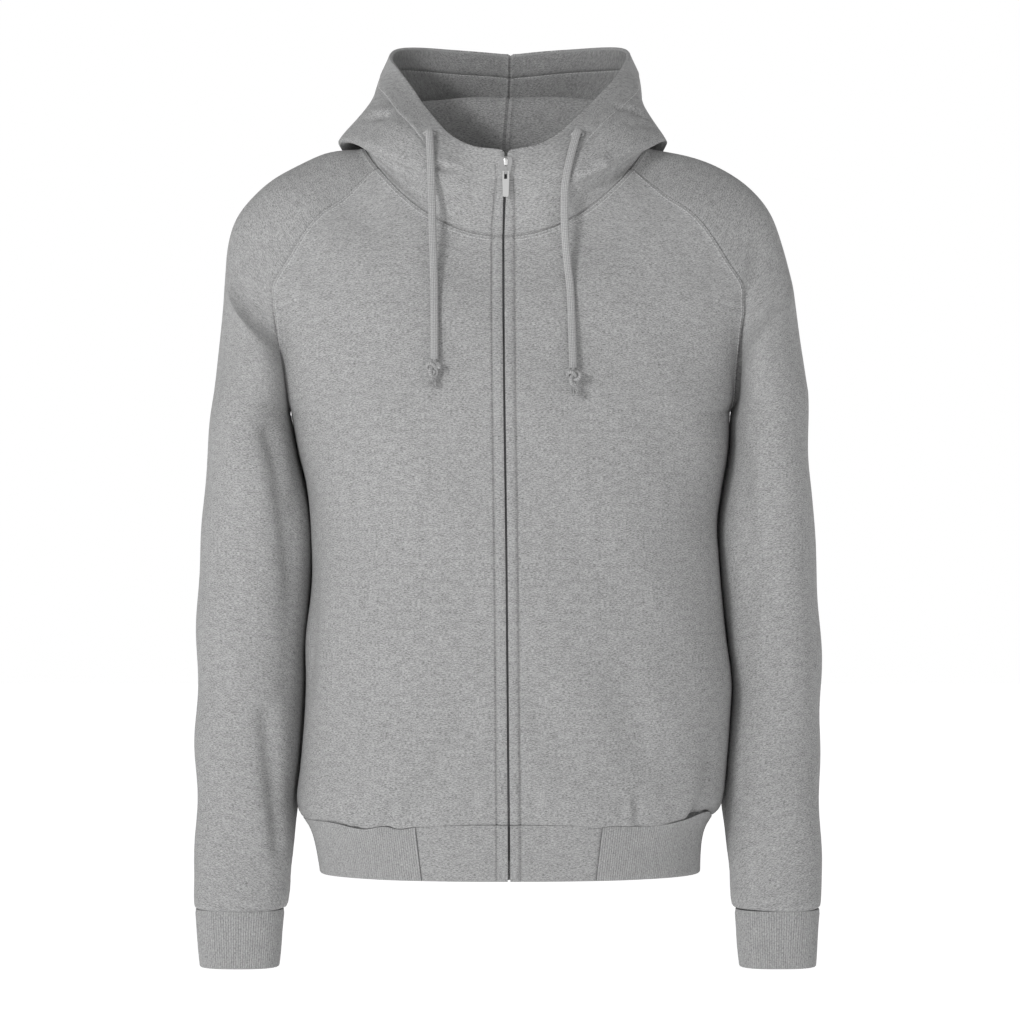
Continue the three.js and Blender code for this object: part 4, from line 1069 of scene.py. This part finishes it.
def rib_relief(phase):
    rounded = np.abs(np.sin(phase * math.pi)) ** 0.75
    return lambda length, z: RIB_HEIGHT * rounded + 0.25 * np.sin(length * 0.09 + z * 0.05)


bands = {}
bands["hem_rib"], hem_rows = folded_band("rib_hem", rib_line, band_profile, 1, rib_relief(rib_phase), False,
                                       rib_phase * RIB_PITCH)
for name, side in SIDES.items():
    def jersey_relief(length, z):
        return stitched_hem(length, 9.6, ZIP_BAND_RISE) + pinch(length[-1] - length) * 0.8

    key = "hem_front_" + name
    bands[key], _ = folded_band("cloth_" + key, jersey_line(name), band_profile, side, jersey_relief, False)

cuff_length = {}
cuff_profile = fold_profile(CUFF_TOP_Z, CUFF_END_Z, 13)
for name, side in SIDES.items():
    def cuff_ring(z, name=name, side=side):
        ring = {column: float(smooth(CUFF["z"], CUFF[column], z)) for column in CUFF}
        ring["z"] = z
        return tube_row(ring, name, side, CUFF_ROUNDNESS)

    ribs = round(running(cuff_ring(CUFF_END_Z))[-1] / RIB_PITCH)
    phase = np.arange(ribs * RIB_SAMPLES + 1) / RIB_SAMPLES

    def cuff_line(z, ring=cuff_ring, count=ribs * RIB_SAMPLES + 1):
        line = ring(z)
        return at_lengths(line, np.linspace(0, running(line)[-1], count))

    cuff_length["cuff_" + name] = running(cuff_ring((CUFF_TOP_Z + CUFF_END_Z) / 2))[-1]
    bands["cuff_" + name], _ = folded_band("rib_cuff_" + name, cuff_line, cuff_profile, side, rib_relief(phase), True,
                                          phase * RIB_PITCH)

for key, obj in bands.items():
    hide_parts(key)
    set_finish(obj, "fleece" if "front" in key else "rib")


# Stitching: short rounded threads laid along lines on the cloth

THREAD_SIDES = 5
THREAD_RINGS = [(-1, 0.35), (-0.6, 0.9), (0.6, 0.9), (1, 0.35)]
THREAD_RADIUS = 0.3
STITCH_LENGTH = 2.5
STITCH_GAP = 0.7


def threads(name, centres, headings, facings, length, radius, slot="fleece"):
    """One object of many threads, each a short rounded bar at a centre, along its heading."""
    headings = headings / np.linalg.norm(headings, axis=1, keepdims=True)
    sideways = np.cross(facings, headings)
    sideways /= np.maximum(np.linalg.norm(sideways, axis=1, keepdims=True), 1e-9)
    up = np.cross(headings, sideways)
    half = np.broadcast_to(np.asarray(length, float) / 2, len(centres))[:, None]
    rings = []
    for place, share in THREAD_RINGS:
        for i in range(THREAD_SIDES):
            angle = 2 * math.pi * i / THREAD_SIDES
            offset = (sideways * math.cos(angle) + up * math.sin(angle)) * radius * share
            rings.append(centres + headings * half * place + offset - facings * radius * (abs(place) - 0.6) * 0.5)
    points = np.stack(rings, axis=1)
    index = np.arange(len(THREAD_RINGS) * THREAD_SIDES).reshape(len(THREAD_RINGS), THREAD_SIDES)
    around = np.concatenate([index, index[:, :1]], axis=1)
    faces = quads_of(around, False)
    ends = np.array([[index[0, 0], index[0, 4], index[0, 3], index[0, 1]], [index[0, 1], index[0, 3], index[0, 2], index[0, 2]],
                     [index[3, 0], index[3, 1], index[3, 3], index[3, 4]], [index[3, 1], index[3, 2], index[3, 3], index[3, 3]]])
    faces = np.concatenate([faces, ends[[0, 2]]])
    per = points.shape[1]
    quads = (np.arange(len(centres))[:, None, None] * per + faces[None]).reshape(-1, 4)
    obj = mesh_object(name, points.reshape(-1, 3), quads)
    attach(obj, "garment")
    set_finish(obj, slot)
    return obj


def line_beside(key, away, axis, from_last, rows=None, inside=False):
    """A line on a panel's surface at a distance from one of its edges, with the surface's normals."""
    layer = layers[key][1 if inside else 0]
    facing = normals[key] * (-1 if inside else 1)
    near, far = distances(grids[key], axis)
    measure = far if from_last else near
    if axis == 0:
        layer, facing, measure = layer.transpose(1, 0, 2), facing.transpose(1, 0, 2), measure.T
        away = np.broadcast_to(np.asarray(away, float).T if np.ndim(away) else away, measure.shape)
    else:
        away = np.broadcast_to(away, measure.shape)
    if rows is not None:
        layer, facing, measure, away = layer[rows], facing[rows], measure[rows], away[rows]
    points, faces = [], []
    for surface, face, gauge, wanted in zip(layer, facing, measure, away):
        order = slice(None, None, -1) if from_last else slice(None)
        target = wanted[0]
        points.append([np.interp(target, gauge[order], surface[order, k]) for k in range(3)])
        faces.append([np.interp(target, gauge[order], face[order, k]) for k in range(3)])
    return np.array(points), np.array(faces)


def stitch_marks(line, facing, start=1.5, end=1.5, pitch=STITCH_LENGTH + STITCH_GAP):
    """Places, headings and normals of stitches at an even pitch along a line."""
    length = running(line)
    if length[-1] < start + end + pitch:
        return None
    at = np.arange(start + pitch / 2, length[-1] - end - pitch / 2, pitch)
    ahead = at_lengths(line, at + 0.8) - at_lengths(line, at - 0.8)
    face = np.stack([np.interp(at, length, facing[:, k]) for k in range(3)], axis=1)
    face /= np.linalg.norm(face, axis=1, keepdims=True)
    return at_lengths(line, at) + face * 0.08, ahead, face


def joined(marks):
    marks = [m for m in marks if m is not None]
    return [np.concatenate([m[k] for m in marks]) for k in range(3)]


BODY_TWIN = (1.9, 4.9)
FACE_STITCH_FROM = 92
CAP_SLICE = slice(FIRST_CAP + 1, None)
stitches = {}
for name in SIDES:
    lines = []
    for away in BODY_TWIN:
        lines.append(stitch_marks(*line_beside("front_" + name, away, 1, True, CAP_SLICE), start=4, end=5))
        lines.append(stitch_marks(*line_beside("front_" + name, away, 0, True), start=10, end=5))
        lines.append(stitch_marks(*line_beside("sleeve_" + name, away, 0, False), start=1, end=1))
    stitches["seam_" + name] = joined(lines)
    lines = []
    for key in ("front_" + name, "hood_" + name):
        rows = grids[key].shape[0]
        width = zip_band_width(grids[key][:, 0, 2])[:, None]
        wide = np.broadcast_to(width, grids[key].shape[:2])
        if key.startswith("hood"):
            stop = int(np.searchsorted(-distances(grids[key], 0)[1][:, 0], -FACE_HEM * 0.35))
            lines.append(stitch_marks(*line_beside(key, wide, 1, False, slice(0, stop)), start=1, end=1))
        else:
            lines.append(stitch_marks(*line_beside(key, wide, 1, False), start=1, end=1))
    stitches["zip_" + name] = joined(lines)
    lines = []
    for inside, past in ((False, FACE_STITCH_FROM), (True, 1)):
        lines.append(stitch_marks(*line_beside("hood_" + name, FACE_HEM, 0, True, None, inside), start=past, end=1))
    stitches["topstitch_" + name] = joined(lines)
    twin = [stitch_marks(*line_beside("hood_" + name, away, 1, True)) for away in (2.2, 4.6)]
    stitches["hood_centre_" + name] = joined(twin)
lines = []
for away in BODY_TWIN:
    lines.append(stitch_marks(*line_beside("back", away, 0, True), start=5, end=5))
    for from_last in (False, True):
        lines.append(stitch_marks(*line_beside("back", away, 1, from_last, CAP_SLICE), start=4, end=5))
stitches["seam_back"] = joined(lines)
for key, (centres, headings, facings) in stitches.items():
    threads("stitches_" + key, centres, headings, facings, STITCH_LENGTH, THREAD_RADIUS)


# Zip: woven tapes behind the edges, and the coil's teeth in the gap between them

TAPE_GAP = 0.5
TAPE = 0.7
TAPE_WIDTH = 11.2
TAPE_OVER = 1.05
TOOTH_PITCH = 1.25
TOOTH = (1.5, 1.3, 0.66)
TOOTH_DEPTH = 2.2
TEETH_TOP_Z = -25
tape_columns = int(np.searchsorted(NEAR_ZIP, TAPE_WIDTH)) + 1
for name, side in SIDES.items():
    pieces, facing = [], []
    for key, first in (("front_" + name, 0), ("hood_" + name, 1)):
        pieces.append(layers[key][1][first:, :tape_columns])
        facing.append(normals[key][first:, :tape_columns])
    surface = np.concatenate(pieces)
    facing = np.concatenate(facing)
    low = surface[0] + [0.2, 3.4, HEM_Z + 1 - BAND_TOP_Z]
    surface = np.concatenate([[low, surface[0] + [0, 1.2, -4]], surface])
    facing = np.concatenate([[facing[0]] * 2, facing])
    reach = surface[:, :1] - surface[:, 2:3]
    reach *= TAPE_OVER / np.linalg.norm(reach, axis=2, keepdims=True)
    surface = np.concatenate([surface[:, :1] + reach, surface], axis=1)
    facing = np.concatenate([facing[:, :1], facing], axis=1)
    across, _ = distances(surface, 1)
    up, _ = distances(surface, 0)
    near = surface - facing * TAPE_GAP
    tape = shell("woven_tape_" + name, near, near - facing * TAPE, uv_of(across, up), side < 0)
    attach(tape, "garment")
    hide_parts("zip_tape_" + name)
    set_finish(tape, "zip_tape")

heights = np.arange(HEM_Z + 2, TEETH_TOP_Z, TOOTH_PITCH)
zip_x, zip_y = zip_at(heights)
slope = np.gradient(zip_y, heights)
corners = []
faces = []
box_faces = np.array([[0, 1, 3, 2], [4, 6, 7, 5], [0, 4, 5, 1], [2, 3, 7, 6], [0, 2, 6, 4], [1, 5, 7, 3]])
for k, (x, y, z, lean_y) in enumerate(zip(zip_x, zip_y, heights, slope)):
    way = 1 if k % 2 else -1
    heading = np.array([0, lean_y, 1]) / math.hypot(lean_y, 1)
    inward = np.array([0, heading[2], -heading[1]])
    centre = np.array([x + way * 0.42, y, z]) + inward * TOOTH_DEPTH
    for i in (-0.5, 0.5):
        for j in (-0.5, 0.5):
            for m in (-0.5, 0.5):
                corners.append(centre + np.array([1, 0, 0]) * i * TOOTH[0] + inward * j * TOOTH[1] + heading * m * TOOTH[2])
    faces.append(box_faces + 8 * k)
teeth = mesh_object("zip_coil", np.array(corners), np.concatenate(faces))
teeth.modifiers.new("Rounded", "BEVEL").width = 0.12 * MM
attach(teeth, "garment")
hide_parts("zip_chain")
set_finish(teeth, "zip_teeth")

SLIDER_Z = -19
SLIDER_TILT = 0.105
BRIDGE = {"half": 2.1, "low": -0.6, "high": 7.6, "front": -4.5, "back": -2.7}
BRIDGE_STEPS = 8
turn = np.linspace(0, math.pi, BRIDGE_STEPS)
arc = np.stack([np.cos(turn), np.sin(turn)], axis=1) * BRIDGE["half"]
outline = np.concatenate([
    arc + [0, BRIDGE["high"] - BRIDGE["half"]],
    arc[::-1] * [1, -1] + [0, BRIDGE["low"] + BRIDGE["half"]],
])
slider_x, slider_y = (float(v) for v in zip_at(SLIDER_Z))
tilt = np.array([[1, 0, 0], [0, math.cos(SLIDER_TILT), math.sin(SLIDER_TILT)],
                 [0, -math.sin(SLIDER_TILT), math.cos(SLIDER_TILT)]])
rings = []
for deep, share in ((BRIDGE["back"], 1), (-3.7, 1), (-4.25, 0.86), (BRIDGE["front"], 0.6)):
    middle = (BRIDGE["high"] + BRIDGE["low"]) / 2
    ring = outline * [share, 1] - [0, middle]
    ring[:, 1] = np.sign(ring[:, 1]) * (np.abs(ring[:, 1]) - (1 - share) * BRIDGE["half"])
    ring[:, 1] += middle
    rings.append(np.stack([ring[:, 0], np.full(len(ring), deep), ring[:, 1]], axis=1))
bridge_points = np.concatenate(rings) @ tilt + [slider_x, slider_y, SLIDER_Z]
index = np.arange(len(bridge_points)).reshape(len(rings), -1)
around = np.concatenate([index, index[:, :1]], axis=1)
last = index[-1]
half = len(last) // 2
lid = quads_of(np.array([last[:half], last[half:][::-1]]), False)
bridge = mesh_object("slider_bridge", bridge_points, np.concatenate([quads_of(around, False), lid]))
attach(bridge, "garment")
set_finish(bridge, "zip_metal")
for node in ("zip_slider", "zip_pull"):
    bevel = frame["nodes"][node].modifiers.new("Rounded", "BEVEL")
    bevel.width = 0.28 * MM
    bevel.segments = 3
    bevel.limit_method = "ANGLE"


# Buttonholes where the drawcords leave the face hem

EYELET_HALF_WIDTH = 5.3
EYELET_HALF_HEIGHT = 2.9
EYELET_STITCHES = 30
marks = []
for name, (_, _, line) in cords.items():
    outer = layers["hood_" + name][0].reshape(-1, 3)
    facing_all = normals["hood_" + name].reshape(-1, 3)
    exit_point = line[int(3.4 / CORD_RING_STEP)]
    nearest = np.argmin(np.linalg.norm(outer - exit_point, axis=1))
    middle, facing = outer[nearest], facing_all[nearest]
    middle = middle + (exit_point - middle) - facing * ((exit_point - middle) @ facing)
    across = np.array([1.0, 0, 0]) - facing * facing[0]
    across /= np.linalg.norm(across)
    up = np.cross(facing, across)
    angle = np.linspace(0, 2 * math.pi, EYELET_STITCHES, endpoint=False)
    c, s = np.cos(angle)[:, None], np.sin(angle)[:, None]
    ring = middle + across * c * EYELET_HALF_WIDTH + up * s * EYELET_HALF_HEIGHT + facing * 0.3
    marks.append((ring, across * c + up * s, np.broadcast_to(facing, ring.shape)))
centres, headings, facings = joined(marks)
threads("stitches_eyelets", centres, headings, facings, 2.1, 0.36)


# Materials

class Nodes:
    """Small helper that adds and links shader nodes."""

    def __init__(self, name):
        self.material = bpy.data.materials.new(name)
        self.material.use_nodes = True
        self.tree = self.material.node_tree
        self.shader = self.tree.nodes["Principled BSDF"]

    def add(self, kind, **settings):
        node = self.tree.nodes.new(kind)
        for key, value in settings.items():
            setattr(node, key, value)
        return node

    def link(self, start, end):
        self.tree.links.new(start, end)

    def scaled_map(self, scale):
        coordinates = self.add("ShaderNodeTexCoord")
        mapping = self.add("ShaderNodeMapping")
        mapping.inputs["Scale"].default_value = scale
        self.link(coordinates.outputs["UV"], mapping.inputs["Vector"])
        return mapping.outputs["Vector"]

    def noise(self, vector, scale, detail=2.0, roughness=0.55):
        node = self.add("ShaderNodeTexNoise")
        node.inputs["Scale"].default_value = scale
        node.inputs["Detail"].default_value = detail
        node.inputs["Roughness"].default_value = roughness
        self.link(vector, node.inputs["Vector"])
        return node.outputs["Fac"]

    def math(self, operation, a, b):
        node = self.add("ShaderNodeMath", operation=operation)
        for socket, value in zip(node.inputs, (a, b)):
            if isinstance(value, (int, float)):
                socket.default_value = value
            else:
                self.link(value, socket)
        return node.outputs["Value"]


def melange(name, base, contrast, streak=(0.3, 1), inside=1.0, rib=0.0, cross=0.0, bump=0.14, sheen=0.1):
    """Heather grey: fibres of several greys, in short streaks. rib paints shade into the furrows between ribs, cross
    paints shade and light onto the crossing strands of a braid, and inside darkens the cloth's back beside its face:
    partly the brushed back's own darker tone, partly painted shade for the hollow insides."""
    nodes = Nodes(name)
    streaks = nodes.noise(nodes.scaled_map((streak[0], streak[1], 1)), 1250, 2.0, 0.6)
    specks = nodes.noise(nodes.scaled_map((0.6 * streak[1], 0.6, 1)), 1900, 1.0, 0.5)
    cloudy = nodes.noise(nodes.scaled_map((streak[0] * 1.4, streak[1], 1)), 210, 2.0, 0.5)
    total = nodes.math("ADD", streaks, nodes.math("MULTIPLY", specks, 0.5))
    total = nodes.math("ADD", total, nodes.math("MULTIPLY", cloudy, 0.25))
    level = nodes.math("MULTIPLY", nodes.math("SUBTRACT", total, 0.875), contrast)
    shade = nodes.math("MULTIPLY", nodes.math("ADD", level, 1.0), base)
    parts = nodes.add("ShaderNodeSeparateXYZ")
    nodes.link(nodes.scaled_map((1, 1, 1)), parts.inputs["Vector"])
    # Painted shade: the cloth's back is darkened by the factor inside, partly for its own darker tone and partly for
    # the shade inside the hood and body.
    if inside != 1:
        is_back = nodes.math("GREATER_THAN", parts.outputs["Y"], INSIDE_MAP[1] / 2)
        shade = nodes.math("MULTIPLY", shade, nodes.math("SUBTRACT", 1.0, nodes.math("MULTIPLY", is_back, 1 - inside)))
    # Painted shade in the furrows between ribs: the colour darkens away from each rib's crest.
    if rib:
        wave = nodes.math("SINE", nodes.math("MULTIPLY", parts.outputs["X"], math.pi / (RIB_PITCH * MM)), 0)
        painted_rib_shade = nodes.math("POWER", nodes.math("ABSOLUTE", wave, 0), 0.8)
        shade = nodes.math("MULTIPLY", shade, nodes.math("ADD", nodes.math("MULTIPLY", painted_rib_shade, rib), 1 - rib * 0.64))
    # Painted shade and light on a braid: the colour is darker in its furrows and lighter on its crossing strands.
    if cross:
        waves = []
        for way in (1, -1):
            along_cord = nodes.math("MULTIPLY", parts.outputs["Y"], 2 * math.pi / (BRAID_STITCH * MM))
            around = nodes.math("MULTIPLY", parts.outputs["X"], way * 2 * math.pi / (BRAID_STITCH * MM))
            waves.append(nodes.math("SINE", nodes.math("ADD", along_cord, around), 0))
        painted_braid_shade = nodes.math("MULTIPLY", waves[0], waves[1])
        shade = nodes.math("MULTIPLY", shade, nodes.math("ADD", nodes.math("MULTIPLY", painted_braid_shade, cross), 1.0))
    clamp = nodes.add("ShaderNodeClamp")
    nodes.link(shade, clamp.inputs["Value"])
    clamp.inputs["Min"].default_value = 0.03
    clamp.inputs["Max"].default_value = 0.92
    colour = nodes.add("ShaderNodeCombineColor")
    for channel in ("Red", "Green", "Blue"):
        nodes.link(clamp.outputs["Result"], colour.inputs[channel])
    nodes.link(colour.outputs["Color"], nodes.shader.inputs["Base Color"])
    bumped = nodes.add("ShaderNodeBump")
    bumped.inputs["Strength"].default_value = bump
    bumped.inputs["Distance"].default_value = 0.0006
    nodes.link(streaks, bumped.inputs["Height"])
    nodes.link(bumped.outputs["Normal"], nodes.shader.inputs["Normal"])
    nodes.shader.inputs["Roughness"].default_value = 0.92
    nodes.shader.inputs["Sheen Weight"].default_value = sheen
    nodes.shader.inputs["Sheen Roughness"].default_value = 0.6
    nodes.shader.inputs["Specular IOR Level"].default_value = 0.12
    return nodes.material


def plain_material(name, base, roughness, metallic=0.0, specular=0.5):
    nodes = Nodes(name)
    nodes.shader.inputs["Base Color"].default_value = (*base, 1)
    nodes.shader.inputs["Metallic"].default_value = metallic
    nodes.shader.inputs["Specular IOR Level"].default_value = specular
    grain = nodes.noise(nodes.add("ShaderNodeTexCoord").outputs["Object"], 900, 2.0)
    nodes.link(nodes.math("ADD", nodes.math("MULTIPLY", grain, 0.08), roughness - 0.04), nodes.shader.inputs["Roughness"])
    return nodes.material


FLEECE_GREY = 0.335
INSIDE_PAINTED_SHADE = 0.93
BRAID_STITCH = 3.0
materials = {
    "fleece": melange("grey_melange", FLEECE_GREY, 2.15, inside=INSIDE_PAINTED_SHADE),
    "rib": melange("grey_rib", FLEECE_GREY, 1.5, streak=(1, 0.4), rib=0.26),
    "cord": melange("grey_cord", FLEECE_GREY * 1.12, 0.8, streak=(1, 0.5), cross=0.42, bump=0.08),
    "thread": melange("grey_thread", FLEECE_GREY * 1.8, 0.4, bump=0.04),
    "zip_tape": melange("grey_tape", 0.2, 0.5, streak=(1, 0.5), bump=0.2),
    "zip_teeth": plain_material("grey_teeth", (0.1, 0.1, 0.105), 0.42),
    "zip_metal": plain_material("bright_nickel", (0.62, 0.62, 0.615), 0.3, 1.0),
    # The slider's body is the same nickel as the pull and bridge, made darker: a painted-shade copy of one metal.
    "slider": plain_material("dark_nickel", (0.36, 0.36, 0.36), 0.32, 1.0),
}
for obj in list(bpy.data.objects):
    if obj.type != "MESH" or obj.hide_render:
        continue
    if obj.name.startswith("stitches_zip"):
        wanted = "fleece"
    elif obj.name.startswith("stitches"):
        wanted = "thread"
    elif obj.name in ("zip_slider", "zip_pull"):
        wanted = "slider" if obj.name == "zip_slider" else "zip_metal"
    else:
        wanted = obj.get("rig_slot")
    if wanted:
        obj.data.materials.clear()
        obj.data.materials.append(materials[wanted])


# The flat cut of each cloth piece

def cut_of(key):
    """Width, length and flat area of a panel, from its own lengths in metres."""
    across, up = lengths_of[key]
    grid = grids[key]
    cells = np.linalg.norm(np.cross(grid[1:, 1:] - grid[:-1, :-1], grid[1:, :-1] - grid[:-1, 1:]), axis=2) / 2
    return float(across[:, -1].max()) * MM, float(up[-1].max()) * MM, float(cells.sum()) * MM * MM


# Each cloth piece's cut, and each band's width and height, worked out here and used no further
for key, obj in cloth.items():
    width, length, area = cut_of(key)
band_height = (BAND_TOP_Z - HEM_Z) * MM
for key, obj in bands.items():
    if key.startswith("cuff"):
        width, height = cuff_length[key] * MM, (CUFF_TOP_Z - CUFF_END_Z) * MM
    elif key == "hem_rib":
        width, height = hem_rib_length * MM, band_height
    else:
        width, height = jersey_end(-650) * MM, band_height


# Studio: soft light from the viewer's left and above, a pale floor that glows, and a white surround

def area_light(name, place, target, size, power):
    light = bpy.data.lights.new(name, "AREA")
    light.shape = "RECTANGLE"
    light.size, light.size_y = size
    light.energy = power
    obj = bpy.data.objects.new(name, light)
    obj.location = place
    obj.rotation_euler = (Vector(target) - Vector(place)).to_track_quat("-Z", "Y").to_euler()
    scene.collection.objects.link(obj)
    return obj


area_light("key", (-2.0, -2.9, 0.5), (0, 0, -0.35), (0.6, 0.6), 50)
area_light("fill", (2.3, -2.6, 0.3), (0, 0, -0.35), (1.8, 1.8), 3)

# The surround is white near the horizon, where the camera sees it, and dimmer above.
HORIZON_BAND = 0.15
HORIZON_BLEND = 0.06
UPPER_LIGHT = 0.3
world = bpy.data.worlds.new("surround")
world.use_nodes = True
tree = world.node_tree
direction = tree.nodes.new("ShaderNodeTexCoord")
parts = tree.nodes.new("ShaderNodeSeparateXYZ")
steep = tree.nodes.new("ShaderNodeMath")
steep.operation = "ABSOLUTE"
level = tree.nodes.new("ShaderNodeMapRange")
level.inputs["From Min"].default_value = HORIZON_BAND
level.inputs["From Max"].default_value = HORIZON_BAND + HORIZON_BLEND
level.inputs["To Min"].default_value = 1.0
level.inputs["To Max"].default_value = UPPER_LIGHT
tree.links.new(direction.outputs["Generated"], parts.inputs["Vector"])
tree.links.new(parts.outputs["Z"], steep.inputs[0])
tree.links.new(steep.outputs["Value"], level.inputs["Value"])
tree.links.new(level.outputs["Result"], tree.nodes["Background"].inputs["Strength"])
tree.nodes["Background"].inputs["Color"].default_value = (1, 1, 1, 1)
scene.world = world
scene.view_settings.view_transform = "Standard"

FLOOR_Z = -1.15
bpy.ops.mesh.primitive_plane_add(size=30, location=(0, 0, FLOOR_Z))
floor = bpy.context.object
floor.name = "floor"
pale = Nodes("pale_floor")
pale.shader.inputs["Base Color"].default_value = (0.9, 0.9, 0.9, 1)
pale.shader.inputs["Emission Color"].default_value = (1, 1, 1, 1)
# Painted light: the floor glows, weaker near the garment and stronger far off, so the far floor reads white and the
# garment is lit softly from below.
place = pale.add("ShaderNodeTexCoord").outputs["Object"]
distance = pale.add("ShaderNodeVectorMath", operation="LENGTH")
pale.link(place, distance.inputs[0])
glow = pale.add("ShaderNodeMapRange")
for socket, value in (("From Min", 1.2), ("From Max", 2.4), ("To Min", 0.42), ("To Max", 0.75)):
    glow.inputs[socket].default_value = value
pale.link(distance.outputs["Value"], glow.inputs["Value"])
pale.link(glow.outputs["Result"], pale.shader.inputs["Emission Strength"])
floor.data.materials.append(pale.material)
